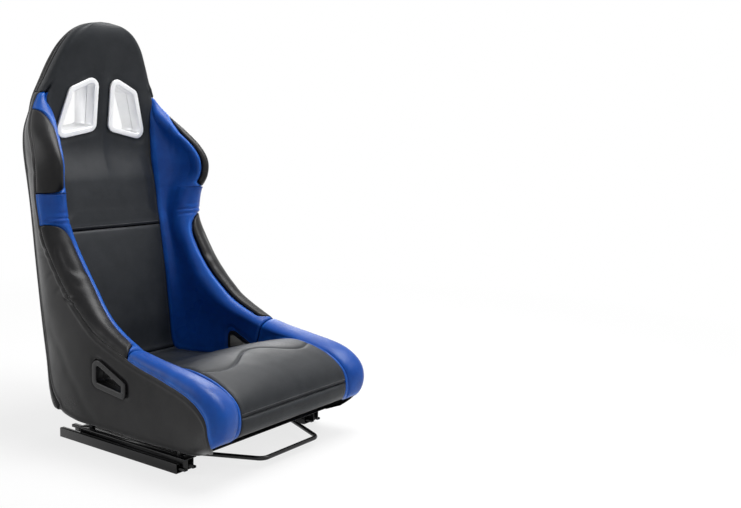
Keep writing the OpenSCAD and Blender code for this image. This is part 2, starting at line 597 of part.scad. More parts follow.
module pivot_pins() color("#9a9da1") for (p = [[slide_y, pivot_z], [pawl_y, pawl_z]])
    translate([0, p[0], p[1]]) rotate([0, 90, 0]) {
        translate([0, 0, tab_x - 8]) cylinder(d = pin_d, h = lever_x + lever_t + 0.2 - tab_x + 8);
        translate([0, 0, tab_x - 10]) cylinder(d = pin_d + 4, h = 2);
    }

// The coil round the pawl's pin, with a leg under the bracket and one on the pawl
spring_r = pin_d / 2 + 1.4;
wire_r = 0.5;
turns = 3.5;
coil_len = 5.4;
leg_len = 12;
module latch_spring() {
    n = turns * 8;
    axis0 = [tab_x - 7.2, pawl_y, pawl_z];
    function coil(i) = let (a = 360 * turns * i / n)
        axis0 + [coil_len * i / n, spring_r * cos(a), spring_r * sin(a)];
    path = concat([axis0 + [0, spring_r, -leg_len]], [for (i = [0:n]) coil(i)]);
    echo(latch_spring_least_gap = min([for (i = [0:n]) for (j = [i + 5:n]) norm(coil(i) - coil(j))]) - 2 * wire_r);
    color("#b9bcc0") wire(path, wire_r, 6);
}
// A round wire along a path of points
module wire(path, r, sides) {
    n = len(path);
    function dir(i) = unit(path[min(i + 1, n - 1)] - path[max(i - 1, 0)]);
    function ring(i) =
        let (d = dir(i))
        let (a = unit(cross(d, [1, 0.02, 0.01])))
        let (b = cross(d, a))
        [for (k = [0:sides - 1]) path[i] + r * (a * cos(360 * k / sides) + b * sin(360 * k / sides))];
    pts = [for (i = [0:n - 1]) each ring(i)];
    faces = concat(
        [for (i = [0:n - 2]) for (k = [0:sides - 1]) each
            let (k2 = (k + 1) % sides)
            [[i * sides + k, (i + 1) * sides + k2, i * sides + k2],
            [i * sides + k, (i + 1) * sides + k, (i + 1) * sides + k2]]],
        [[for (k = [0:sides - 1]) k]],
        [[for (k = [sides - 1:-1:0]) (n - 1) * sides + k]]);
    polyhedron(pts, faces, convexity = 6);
}

// The handle: two arms run in from the rails to the straight front run. Each
// straight rod is pushed a little way into the bend it is welded to.
arm_x = lever_x - 0.1 - 0.45 * bar_d;
bend_r = 22;
weld = 1;
module rod(a, b) {
    v = b - a;
    translate([a[0], a[1], pivot_z]) rotate([0, 90, atan2(v[1], v[0])])
        translate([0, 0, -weld]) cylinder(d = bar_d - 0.1, h = norm(v) + weld);
}
module towel_bar() color("#0c0d0e") {
    start = [arm_x, slide_y - 18];
    corner = [bar_w / 2, -bar_reach];
    u = unit(start - corner);
    half = acos(u * [-1, 0]) / 2;
    reach = bend_r / tan(half);
    bend_out = corner + u * reach;
    bend_in = corner + [-reach, 0];
    mid = corner + unit(u + [-1, 0]) * (bend_r / sin(half));
    a0 = atan2(bend_in[1] - mid[1], bend_in[0] - mid[0]);
    a1 = atan2(bend_out[1] - mid[1], bend_out[0] - mid[0]);
    for (m = [0, 1]) mirror([m, 0, 0]) {
        rod(bend_out, start);
        rod(bend_in, [-weld, bend_in[1]]);
        translate([mid[0], mid[1], pivot_z]) rotate([0, 0, a0])
            rotate_extrude(angle = a1 - a0) translate([bend_r, 0]) circle(d = bar_d);
    }
}

// ------------------------------------------------------------ assembly
module part(name) {
    children();
}
part("back_cover") back_cover();
part("head_band") head_band();
part("structural_shell") structural_shell();
part("upper_back_pad") upper_back_pad();
part("lower_back_pad") lower_back_pad();
part("seat_cushion") seat_cushion();
part("cushion_front") cushion_front();
part("seat_spacers") seat_spacers();
part("seat_bolts") seat_bolts();
part("towel_bar") towel_bar();
for (hand = [["_left", 1], ["_right", -1]]) {
    part(str("side_cover", hand[0])) on_left(hand[1]) side_cover();
    part(str("wing_pad", hand[0])) on_left(hand[1]) wing_pad();
    part(str("shoulder_edge_pad", hand[0])) on_left(hand[1]) shoulder_edge_pad();
    part(str("waist_edge_pad", hand[0])) on_left(hand[1]) waist_edge_pad();
    part(str("thigh_bolster", hand[0])) on_left(hand[1]) thigh_bolster();
    part(str("harness_bezel_front", hand[0])) on_left(hand[1]) harness_bezel_front();
    part(str("harness_bezel_rear", hand[0])) on_left(hand[1]) harness_bezel_rear();
    part(str("belt_bezel_outer", hand[0])) on_left(hand[1]) belt_bezel_outer();
    part(str("belt_bezel_inner", hand[0])) on_left(hand[1]) belt_bezel_inner();
    part(str("insert_plate", hand[0])) on_left(hand[1]) insert_plate();
    part(str("upper_rail", hand[0])) on_left(hand[1]) upper_rail();
    part(str("lower_rail", hand[0])) on_left(hand[1]) lower_rail();
    part(str("lock_rack", hand[0])) on_left(hand[1]) lock_rack();
    part(str("rollers", hand[0])) on_left(hand[1]) rollers();
    part(str("roller_cage", hand[0])) on_left(hand[1]) roller_cage();
    part(str("pivot_bracket", hand[0])) on_left(hand[1]) pivot_bracket();
    part(str("release_arm", hand[0])) on_left(hand[1]) release_arm();
    part(str("latch_pawl", hand[0])) on_left(hand[1]) latch_pawl();
    part(str("pivot_pins", hand[0])) on_left(hand[1]) pivot_pins();
    part(str("latch_spring", hand[0])) on_left(hand[1]) latch_spring();
}
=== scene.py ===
"""Looks of the racing seat: leather pads and covers, seams, belt openings and slide rails."""
import json
import math

import bmesh
import bpy
import numpy as np
from mathutils import Matrix, Vector
from mathutils.kdtree import KDTree


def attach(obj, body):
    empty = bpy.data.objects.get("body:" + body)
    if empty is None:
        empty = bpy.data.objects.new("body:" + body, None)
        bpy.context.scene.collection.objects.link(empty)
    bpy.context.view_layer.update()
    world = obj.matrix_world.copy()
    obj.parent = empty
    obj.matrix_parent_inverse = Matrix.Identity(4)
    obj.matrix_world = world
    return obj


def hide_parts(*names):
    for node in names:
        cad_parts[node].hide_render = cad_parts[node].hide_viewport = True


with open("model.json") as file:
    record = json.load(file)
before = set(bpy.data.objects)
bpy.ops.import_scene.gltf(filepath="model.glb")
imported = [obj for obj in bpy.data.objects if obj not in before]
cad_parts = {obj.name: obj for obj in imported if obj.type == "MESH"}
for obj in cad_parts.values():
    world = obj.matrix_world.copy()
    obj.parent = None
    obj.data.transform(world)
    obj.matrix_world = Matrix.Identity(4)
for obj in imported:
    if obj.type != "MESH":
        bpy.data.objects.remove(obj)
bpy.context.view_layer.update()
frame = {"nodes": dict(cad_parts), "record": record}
NODES = frame["nodes"]
MM = 0.001
SIDES = ((1, "_left"), (-1, "_right"))

# ------------------------------------------------------------------ lines plan
# One row for each cross-section of the left half, from the nose along the base, round the
# hip and up the back to the top of the head, in millimetres. Its columns are the base's
# corner, the middle of the crest, the crest's radii across and up on its outer and on its
# inner side, and the seam between the middle pad and the side pad.
BASE_X, BASE_Y, BASE_Z, CREST_X, CREST_Y, CREST_Z = range(6)
OUT_X, OUT_UP, IN_X, IN_UP, SEAM_X, SEAM_Y = range(6, 12)
LINES = np.array([
    [204, -242, 47, 208, -276, 54, 6, 8, 14, 5, 182, -272, 58],
    [214, -236, 44, 226, -314, 91, 18, 22, 30, 10, 180, -311, 93],
    [221, -228, 42, 230, -325, 133, 26, 36, 38, 14, 179, -319, 130],
    [226, -212, 41, 230, -309, 172, 26, 34, 42, 14, 179, -303, 168],
    [229, -178, 41, 231, -256, 199, 23, 26, 40, 14, 180, -245, 199],
    [230, -110, 41, 228, -166, 215, 18, 20, 38, 14, 181, -160, 212],
    [230, -40, 41, 226, -82, 230, 16, 18, 38, 18, 184, -75, 191],
    [229, 40, 41, 224, -7, 256, 18, 20, 40, 24, 182, 15, 158],
    [228, 140, 41, 218, 50, 286, 24, 24, 42, 34, 176, 90, 139],
    [218, 225, 46, 212, 88, 320, 30, 28, 42, 42, 150, 170, 137],
    [209, 266, 78, 206, 118, 352, 36, 32, 42, 46, 138, 206, 150],
    [205, 283, 150, 204, 149, 390, 38, 34, 41, 48, 138, 222, 235],
    [205, 299, 245, 204, 177, 430, 38, 34, 38, 46, 142, 240, 335],
    [205, 322, 388, 204, 200, 472, 38, 34, 36, 46, 148, 268, 462],
    [205, 336, 483, 208, 206, 506, 35, 34, 34, 46, 152, 280, 501],
    [205, 344, 540, 215, 200, 546, 31, 44, 30, 44, 154, 288, 543],
    [205, 352, 585, 225, 182, 585, 25, 58, 22, 40, 154, 296, 585],
    [205, 360, 626, 226, 182, 625, 24, 60, 22, 38, 153, 302, 626],
    [204, 365, 661, 220, 204, 661, 24, 52, 25, 36, 155, 307, 661],
    [198, 369, 697, 205, 240, 697, 26, 42, 29, 36, 157, 311, 697],
    [184, 370, 735, 184, 281, 735, 22, 28, 23, 24, 157, 311, 735],
    [169, 370, 772, 172, 312, 772, 8, 12, 9, 8, 162, 310, 772],
    [150, 366, 814, 152, 310, 814, 3, 10, 10, 5, 142, 307, 814],
    [131, 359, 858, 131, 303, 858, 3, 10, 10, 5, 121, 300, 858],
    [110, 348, 898, 110, 296, 898, 3, 10, 10, 5, 100, 293, 898],
    [83, 336, 929, 84, 294, 929, 3, 10, 10, 5, 74, 291, 929],
    [52, 324, 947, 53, 297, 947, 2, 8, 8, 4, 45, 294, 947],
    [14, 316, 955, 14, 303, 955, 1, 5, 4, 2, 10, 301, 955],
], float)
ENDS = len(LINES) - 1

# The rows, with parts of a row, where the panels begin and end
S_NOSE = 0.3            # front of the side covers
S_BLUE = 1              # front of the bolsters and of the cushion's front roll
S_FRONT = 2.12          # seam between the front roll and the cushion
S_THIGH = 6.42          # seam between the bolsters and the wing pads
S_HEM = 9               # hem of the back cover
S_CUSHION = 9.85        # rear end of the cushion
S_BACK = 9.9            # foot of the lower back pad
S_MID = 12.98           # seam between the back pads
S_WAIST = 13.6          # top of the waist edge pads
S_SHOULDER = 15.22      # foot of the shoulder edge pads
S_TIP = 20.2            # top of the shoulder edge pads
S_HEAD = 21.25          # where the head's leather begins to wrap round the crest

# Seams on the outer face, from 0 in its middle to 1 at the crest
P_BASE = 0.47           # lower edge of the side covers
P_REAR = 0.62           # between the back cover and the side covers
P_HEAD = 0.78           # rear edge of the head's leather

CROWN = 9               # how far the middle of the back stands out
BULGE = 5               # how far the middle of the side walls stands out
HOLLOW = 6              # how far the middle of the inner side faces stands back
CORNER_R = 26           # the back's corner
BASE_R = 12             # the base's corner
COVER_T = 4.6           # thickness of the covers
PAD_T = 12.3            # distance from the outer face to the back of the pads
LIFT = 5.0              # how far the larger pads swell

# The belt openings: the shoulder ones as (x, height along their own plane) round their
# centre at (y, z), and the lap ones as (y, z)
HARNESS = np.array([[31, 53], [92, 26], [124, -74], [31, -55]], float)
HARNESS_AT = (312, 760)
HARNESS_TILT = math.radians(6)
LAP = np.array([[48, 196], [48, 156], [-32, 146], [-32, 160]], float)
LAP_FLANGE_X = 187.2    # inner face of the lap openings' inner flanges


def mix(a, b, t):
    return a + (b - a) * t


def smooth(t):
    u = np.clip(t, 0, 1)
    return u * u * (3 - 2 * u)


def unit(v):
    return v / np.maximum(np.linalg.norm(v, axis=-1, keepdims=True), 1e-6)


def mirrored(grid, side):
    return grid * np.array([side, 1, 1])


def lines(s):
    """The cross-section's values at the places s, on a smooth curve through the rows."""
    s = np.asarray(s, float)
    i = np.clip(np.floor(s), 0, ENDS - 1).astype(int)
    u = (s - i)[..., None]
    a, b, c, d = LINES[np.maximum(i - 1, 0)], LINES[i], LINES[i + 1], LINES[np.minimum(i + 2, ENDS)]
    return (2 * b + (c - a) * u + (2 * a - 5 * b + 4 * c - d) * u**2 + (3 * b - a - 3 * c + d) * u**3) / 2


def place(r, x, h):
    """A point of a section: x across, and h up the side wall from corner to crest."""
    up = unit(np.stack([r[..., CREST_Y] - r[..., BASE_Y], r[..., CREST_Z] - r[..., BASE_Z]], -1))
    return np.stack([x, r[..., BASE_Y] + up[..., 0] * h, r[..., BASE_Z] + up[..., 1] * h], -1)


def wall_height(r):
    return np.hypot(r[..., CREST_Y] - r[..., BASE_Y], r[..., CREST_Z] - r[..., BASE_Z])


def outer(s, p, t=0.0, drop=0.0):
    """The outer face at the depth t: p is 0 in the middle, 0.4 to 0.6 round the corner, 1 at the seam."""
    s, p, t = np.broadcast_arrays(np.asarray(s, float), p, t)
    r = lines(s)
    q, side = np.abs(p), np.where(p < 0, -1, 1)
    height = wall_height(r)
    round_r = np.minimum(mix(BASE_R, CORNER_R, smooth((s - 8.5) / 2)), 0.3 * height)
    round_r = np.maximum(np.minimum(round_r, 0.8 * r[..., BASE_X]) - t, 1)
    low_x = r[..., BASE_X] - t
    high_x = r[..., CREST_X] + r[..., OUT_X] - t
    full = smooth((s - 10) / 2) * np.clip(r[..., BASE_X] / 150, 0, 1)
    seam = height - r[..., OUT_UP]
    u = np.where(q < 0.4, q / 0.4, np.where(q < 0.6, (q - 0.4) / 0.2, (q - 0.6) / 0.4))
    h = mix(t + round_r, seam - drop, u)
    w = (h - t - round_r) / (seam - t - round_r)
    turn = np.radians(90) * u
    bulge = BULGE * np.sin(math.pi * w) * np.clip(height / 150, 0, 1)
    flat = place(r, side * (low_x - round_r) * u, t - CROWN * full * (1 - u * u))
    bend = place(r, side * (low_x - round_r + round_r * np.sin(turn)), t + round_r - round_r * np.cos(turn))
    wall = place(r, side * (mix(low_x, high_x, w) + bulge), h)
    return np.where((q < 0.4)[..., None], flat, np.where((q < 0.6)[..., None], bend, wall))


def crest(s, q):
    """The roll of the side wall's crest: q is 0 at the outer seam and 1 at its inner end."""
    s, q = np.broadcast_arrays(np.asarray(s, float), q)
    r = lines(s)
    height = wall_height(r)
    a = math.pi * np.clip(q, 0, 1)
    x, h = np.cos(a), 1 - np.sin(a)
    first = place(r, r[..., CREST_X] + r[..., OUT_X] * x, height - r[..., OUT_UP] * h)
    second = place(r, r[..., CREST_X] + r[..., IN_X] * x, height - r[..., IN_UP] * h)
    return np.where((q < 0.5)[..., None], first, second)


def inner(s, v):
    """The inner face: v is 0 in the middle, 1 at the pad seam, 2 at the roll's inner end, 3 at its outer."""
    s, v = np.broadcast_arrays(np.asarray(s, float), v)
    q = np.abs(v)
    seam = lines(s)[..., SEAM_X:]
    middle = seam * np.stack([q, np.ones_like(q), np.ones_like(q)], -1)
    ends = smooth((s - 6) / 3) * (1 - smooth((s - 19) / 2.5))
    hollow = HOLLOW * ends * np.sin(math.pi * np.clip(q - 1, 0, 1))
    side_wall = mix(seam, crest(s, 1.0), (q - 1)[..., None]) + hollow[..., None] * np.array([1, 0.5, 0])
    p = np.where((q <= 1)[..., None], middle, np.where((q < 2)[..., None], side_wall, crest(s, 3 - q)))
    return np.where((v < 0)[..., None], mirrored(p, -1), p)


def rest(s, v):
    """The back of the pads, against the shell."""
    s, v = np.broadcast_arrays(np.asarray(s, float), v)
    q, side = np.abs(v), np.where(v < 0, -1, 1)
    r = lines(s)
    t = PAD_T + 5 * (1 - smooth((s - 8.5) / 1.5))
    seam = 0.4 * np.minimum(r[..., SEAM_X] / (r[..., BASE_X] - CORNER_R), 0.98)
    k = np.where(q < 2, 0.9 * (q - 1), 0.9 + 0.1 * (q - 2))
    return outer(s, side * np.where(q <= 1, q * seam, mix(seam, 1, k)), t, 4)


# -------------------------------------------------------------------- meshes
def noise(p, size, seed):
    """Smooth value noise from -1 to 1 with cells of the given size."""
    q = p / size + seed * 7.31
    i = np.floor(q).astype(np.int64)
    f = q - i
    f = f * f * (3 - 2 * f)
    total = np.zeros(p.shape[:-1])
    for dx in (0, 1):
        for dy in (0, 1):
            for dz in (0, 1):
                h = (i[..., 0] + dx) * 73856093 ^ (i[..., 1] + dy) * 19349663 ^ (i[..., 2] + dz) * 83492791
                h = ((h ^ (h >> 13)) * 1274126177) & 0xFFFFFFFF
                h = ((h ^ (h >> 15)) * 668265263) & 0xFFFFFFFF
                w = (f[..., 0] if dx else 1 - f[..., 0]) * (f[..., 1] if dy else 1 - f[..., 1])
                total += w * (f[..., 2] if dz else 1 - f[..., 2]) * (h / 0x7FFFFFFF - 1)
    return total


def along(s0, s1, step, p=0.85):
    """Places from s0 to s1 with even steps of about that many millimetres."""
    fine = np.linspace(s0, s1, 600)
    path = outer(fine, p)
    length = np.concatenate([[0], np.cumsum(np.linalg.norm(np.diff(path, axis=0), axis=1))])
    return np.interp(np.linspace(0, length[-1], max(int(length[-1] / step), 4) + 1), length, fine)


def even_columns(s, v0, v1, count, face=inner):
    """For each place in s, values from v0 to v1 with even steps along the face."""
    v0, v1 = np.broadcast_to(v0, s.shape), np.broadcast_to(v1, s.shape)
    w = np.linspace(0, 1, 161)
    fine = v0[:, None] + (v1 - v0)[:, None] * w
    p = face(s[:, None], fine)
    length = np.concatenate(
        [np.zeros((len(s), 1)), np.cumsum(np.linalg.norm(np.diff(p, axis=1), axis=2), 1)], 1)
    return np.array([np.interp(np.linspace(0, l[-1], count), l, f) for l, f in zip(length, fine)])


def spans(p, axis):
    """How far each point of a grid lies from the two ends along one axis."""
    step = np.linalg.norm(np.diff(p, axis=axis), axis=-1)
    zero = np.zeros_like(np.take(step, [0], axis))
    d = np.concatenate([zero, np.cumsum(step, axis)], axis)
    return d, np.take(d, [-1], axis) - d


def edge_distance(p, cut=None, joined_end=False):
    """How far each point of a grid lies from the panel's nearest edge; a joined end is no edge."""
    m, n = p.shape[:2]
    quads = np.zeros((m + 1, n + 1), int)
    quads[-1, 1:-1] = joined_end
    quads[1:-1, 1:-1] = 1 if cut is None else ~cut
    around = quads[:-1, :-1] + quads[1:, :-1] + quads[:-1, 1:] + quads[1:, 1:]
    rim = p[(around > 0) & (around < 4)]
    tree = KDTree(len(rim))
    for k, q in enumerate(rim):
        tree.insert(q, k)
    tree.balance()
    return np.array([tree.find(q)[2] for q in p.reshape(-1, 3)]).reshape(m, n)


def new_object(name, mesh, body, material, replaced):
    obj = bpy.data.objects.new(name, mesh)
    bpy.context.scene.collection.objects.link(obj)
    mesh.materials.clear()
    mesh.materials.append(material)
    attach(obj, body)
    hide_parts(*replaced)
    return obj


def sheet_mesh(name, top, low, cut, wear):
    """A closed leather panel between two grids of points, without the quads where cut is true."""
    m, n = top.shape[:2]
    k = m * n
    points = np.concatenate([top.reshape(-1, 3), low.reshape(-1, 3)]) * MM
    ids = np.arange(k).reshape(m, n)
    a, b, c, d = ids[:-1, :-1], ids[1:, :-1], ids[1:, 1:], ids[:-1, 1:]
    keep = np.ones((m - 1, n - 1), bool) if cut is None else ~cut
    up = np.stack([a, b, c, d], -1)[keep]
    under = np.stack([a, d, c, b], -1)[keep] + k
    walls = []
    wide = np.zeros((m + 1, n + 1), bool)
    wide[1:-1, 1:-1] = keep
    sides = [(0, -1, a, b), (1, 0, b, c), (0, 1, c, d), (-1, 0, d, a)]
    for di, dj, e, f in sides:
        open_side = keep & ~wide[1 + di:m + di, 1 + dj:n + dj]
        e, f = e[open_side], f[open_side]
        walls.append(np.stack([f, e, e + k, f + k], -1))
    quads = np.concatenate([up, under] + walls)
    used = np.unique(quads)
    back = np.full(2 * k, -1)
    back[used] = np.arange(len(used))
    quads = back[quads[:, ::-1] if signed_volume(points, quads) < 0 else quads]
    mesh = bpy.data.meshes.new(name)
    mesh.vertices.add(len(used))
    mesh.vertices.foreach_set("co", points[used].ravel())
    mesh.loops.add(quads.size)
    mesh.loops.foreach_set("vertex_index", quads.ravel())
    mesh.polygons.add(len(quads))
    mesh.polygons.foreach_set("loop_start", np.arange(0, quads.size, 4))
    mesh.update(calc_edges=True)
    mesh.validate()
    mesh.polygons.foreach_set("use_smooth", np.ones(len(mesh.polygons), bool))
    rubbed = np.concatenate([wear.ravel(), np.ones(k)])[used]
    mesh.attributes.new("seam", "FLOAT", "POINT").data.foreach_set("value", rubbed.astype(np.float32))
    return mesh


def signed_volume(p, quads):
    a, b, c, d = (p[quads[:, k]] for k in range(4))
    return np.einsum("ij,ij->", a, np.cross(b, c) + np.cross(c, d))


def outline_distance(p, outline):
    """Signed distance of 2-D points to a convex outline: negative inside."""
    nxt = np.roll(outline, -1, 0)
    turn = np.sign(np.sum(outline[:, 0] * nxt[:, 1] - nxt[:, 0] * outline[:, 1]))
    best, inside = np.full(p.shape[:-1], 1e9), np.ones(p.shape[:-1], bool)
    for a, b in zip(outline, nxt):
        e = b - a
        t = np.clip(((p - a) @ e) / (e @ e), 0, 1)
        best = np.minimum(best, np.linalg.norm(p - a - t[..., None] * e, axis=-1))
        inside &= turn * (e[0] * (p[..., 1] - a[1]) - e[1] * (p[..., 0] - a[0])) > 0
    return np.where(inside, -best, best)


def harness_distance(p):
    """Distance from a shoulder belt opening's outline, seen along its own axis."""
    y, z = p[..., 1] - HARNESS_AT[0], p[..., 2] - HARNESS_AT[1]
    up = -y * math.sin(HARNESS_TILT) + z * math.cos(HARNESS_TILT)
    return outline_distance(np.stack([np.abs(p[..., 0]), up], -1), HARNESS)


def lap_distance(p):
    """Distance from a lap belt opening's outline, seen from the side."""
    return outline_distance(p[..., 1:], LAP)


def ridge(distance, width):
    """1 at the distance 0, and falling softly to 0 on both sides."""
    return np.exp(-(distance / width) ** 2)


def creases(p, rows):
    """Depth of soft creases in leather, each from one (y, z) to another with its width and depth."""
    depth = np.zeros(p.shape[:-1])
    for y0, z0, y1, z1, wide, deep in rows:
        start, run = np.array([y0, z0]), np.array([y1 - y0, z1 - z0], float)
        length = np.linalg.norm(run)
        run /= length
        off = p[..., 1:] - start
        t = off @ run
        bend = 0.06 * length * np.sin(math.pi * np.clip(t / length, 0, 1))
        n = off @ np.array([-run[1], run[0]]) - bend
        ends = smooth(t / (0.35 * length) + 0.4) * smooth((length - t) / (0.35 * length) + 0.4)
        depth += deep * ridge(n, wide) * ends
    return depth


def centre(grid):
    return (grid[:-1, :-1] + grid[1:, :-1] + grid[1:, 1:] + grid[:-1, 1:]) / 4


# ------------------------------------------------------------------- finishes
def shader(name, colour, roughness, **sockets):
    """A material with its Principled shader, and a function that adds a node."""
    mat = bpy.data.materials.new(name)
    mat.use_nodes = True
    tree = mat.node_tree
    bsdf = tree.nodes["Principled BSDF"]
    bsdf.inputs["Base Color"].default_value = (*colour, 1)
    bsdf.inputs["Roughness"].default_value = roughness
    for key, value in sockets.items():
        bsdf.inputs[key.replace("_", " ")].default_value = value

    def add(kind, **values):
        node = tree.nodes.new("ShaderNode" + kind)
        for key, value in values.items():
            if hasattr(node, key):
                setattr(node, key, value)
            else:
                node.inputs[key.replace("_", " ")].default_value = value
        return node

    return mat, tree.links.new, bsdf, add


def grain_height(link, add, coords, depth):
    """Pebbled leather: rounded cells with creases between them, over a finer tooth."""
    size = 1.3 * MM
    cells = add("TexVoronoi", feature="DISTANCE_TO_EDGE", Scale=1 / size, Randomness=0.9)
    warp = add("TexNoise", Scale=0.35 / size, Detail=2.0)
    shift = add("VectorMath", operation="MULTIPLY_ADD")
    shift.inputs[1].default_value = (size * 0.9,) * 3
    link(coords, warp.inputs["Vector"])
    link(warp.outputs["Color"], shift.inputs[0])
    link(coords, shift.inputs[2])
    link(shift.outputs[0], cells.inputs["Vector"])
    dome = add("MapRange", interpolation_type="SMOOTHSTEP", From_Max=0.28)
    link(cells.outputs["Distance"], dome.inputs["Value"])
    fine = add("TexNoise", Scale=3.2 / size, Detail=3.0)
    link(coords, fine.inputs["Vector"])
    total = add("Math", operation="MULTIPLY_ADD")
    total.inputs[1].default_value = 0.3
    link(fine.outputs["Fac"], total.inputs[0])
    link(dome.outputs["Result"], total.inputs[2])
    bump = add("Bump", Strength=depth, Distance=0.00035)
    link(total.outputs[0], bump.inputs["Height"])
    return bump, dome


def leather(name, colour, worn, roughness, grain, **sockets):
    """Coated upholstery leather: grain, mottling, painted shade in the creases between the grain's cells, and
    a paler rubbed line along its seams.
    """
    mat, link, bsdf, add = shader(name, colour, roughness, **sockets)
    coords = add("TexCoord").outputs["Object"]
    bump, dome = grain_height(link, add, coords, grain)
    link(bump.outputs[0], bsdf.inputs["Normal"])

    mottle = add("TexNoise", Scale=26.0, Detail=4.0, Roughness=0.6)
    link(coords, mottle.inputs["Vector"])
    tone = add("MapRange", From_Min=0.3, From_Max=0.7, To_Min=0.0, To_Max=0.35)
    link(mottle.outputs["Fac"], tone.inputs["Value"])
    seam = add("Attribute", attribute_name="seam", attribute_type="GEOMETRY")
    rub = add("Math", operation="MULTIPLY")
    link(seam.outputs["Fac"], rub.inputs[0])
    link(mottle.outputs["Fac"], rub.inputs[1])
    amount = add("Math", operation="ADD", use_clamp=True)
    link(tone.outputs["Result"], amount.inputs[0])
    link(rub.outputs[0], amount.inputs[1])
    paint = add("Mix", data_type="RGBA")
    paint.inputs[6].default_value = (*colour, 1)
    paint.inputs[7].default_value = (*worn, 1)
    link(amount.outputs[0], paint.inputs[0])
    # Painted shade: the base colour is multiplied darker in the creases between the grain's cells
    crease_shade = add("Mix", data_type="RGBA", blend_type="MULTIPLY")
    crease_shade.inputs[0].default_value = 0.35
    shade = add("MapRange", To_Min=0.55)
    link(dome.outputs["Result"], shade.inputs["Value"])
    link(paint.outputs[2], crease_shade.inputs[6])
    link(shade.outputs["Result"], crease_shade.inputs[7])
    link(crease_shade.outputs[2], bsdf.inputs["Base Color"])

    gloss = add("MapRange", From_Min=0.3, From_Max=0.7, To_Min=roughness - 0.06, To_Max=roughness + 0.07)
    patches = add("TexNoise", Scale=9.0, Detail=3.0)
    link(coords, patches.inputs["Vector"])
    link(patches.outputs["Fac"], gloss.inputs["Value"])
    link(gloss.outputs["Result"], bsdf.inputs["Roughness"])
    return mat


def moulded(name, colour, roughness, texture, scale=900.0, **sockets):
    """Painted or moulded surface: fine texture with slight gloss patches."""
    mat, link, bsdf, add = shader(name, colour, roughness, **sockets)
    coords = add("TexCoord").outputs["Object"]
    fine = add("TexNoise", Scale=scale, Detail=2.0)
    link(coords, fine.inputs["Vector"])
    bump = add("Bump", Strength=texture, Distance=0.0002)
    link(fine.outputs["Fac"], bump.inputs["Height"])
    link(bump.outputs[0], bsdf.inputs["Normal"])
    patches = add("TexNoise", Scale=22.0, Detail=4.0)
    link(coords, patches.inputs["Vector"])
    gloss = add("MapRange", To_Min=roughness - 0.07, To_Max=roughness + 0.09)
    link(patches.outputs["Fac"], gloss.inputs["Value"])
    link(gloss.outputs["Result"], bsdf.inputs["Roughness"])
    tint = add("Mix", data_type="RGBA")
    tint.inputs[6].default_value = (*colour, 1)
    tint.inputs[7].default_value = (*[min(c * 1.25 + 0.004, 1) for c in colour], 1)
    link(patches.outputs["Fac"], tint.inputs[0])
    link(tint.outputs[2], bsdf.inputs["Base Color"])
    return mat


COVER_LEATHER = leather("cover_leather", (0.005, 0.005, 0.006), (0.024, 0.023, 0.023), 0.32, grain=0.16,
                        Specular_IOR_Level=0.18)
PAD_LEATHER = leather("pad_leather", (0.009, 0.011, 0.014), (0.028, 0.031, 0.036), 0.43, grain=0.24,
                      Specular_IOR_Level=0.21)
BLUE_LEATHER = leather("blue_leather", (0.005, 0.061, 0.33), (0.014, 0.130, 0.55), 0.33, grain=0.18,
                       Specular_IOR_Level=0.2)
BEZEL_SILVER = moulded("bezel_silver", (0.80, 0.81, 0.83), 0.30, 0.10, Metallic=0.25, Coat_Weight=0.3)
BEZEL_BLACK = moulded("bezel_black", (0.010, 0.010, 0.011), 0.28, 0.2, Specular_IOR_Level=0.35)
RAIL_PAINT = moulded("rail_paint", (0.005, 0.005, 0.006), 0.20, 0.12, 420.0, Specular_IOR_Level=0.3)
ZINC = moulded("zinc_steel", (0.46, 0.47, 0.49), 0.34, 0.2, 300.0, Metallic=1.0)
CAGE_PLASTIC = moulded("cage_plastic", (0.55, 0.51, 0.40), 0.42, 0.1)
SHELL_PLASTIC = moulded("shell_plastic", (0.020, 0.020, 0.022), 0.55, 0.5, 500.0)
THREAD = moulded("thread", (0.10, 0.10, 0.11), 0.55, 0.6, 2500.0, Sheen_Weight=0.3)
BLUE_THREAD = moulded("blue_thread", (0.03, 0.07, 0.28), 0.55, 0.6, 2500.0, Sheen_Weight=0.3)


# --------------------------------------------------------------------- pads
def padded_piece(label, hand, material, top, low, cut, wear):
    name = label + "_leather" + hand
    obj = new_object(name, sheet_mesh(name, top, low, cut, wear), "seat", material, [label + hand])


def middle_pad(label, top, low, cut, wear):
    padded_piece(label, "", PAD_LEATHER, top, low, cut, wear)


def side_pads(label, material, top, low, cut, wear):
    for side, hand in SIDES:
        padded_piece(label, hand, material, mirrored(top, side), mirrored(low, side), cut, wear)


def drawn_in(distance, reach):
    """How far a seam draws the leather in beside it, from 1 at the seam to 0 at its reach."""
    return (1 - np.clip(distance / reach, 0, 1)) ** 2


def seam_gap(distances, reach):
    """The same for the four seams of a panel; a reach of 0 is an edge without a seam."""
    groove = np.zeros_like(distances[0])
    for d, r in zip(distances, reach):
        if r:
            groove = np.maximum(groove, drawn_in(d, r))
    return groove


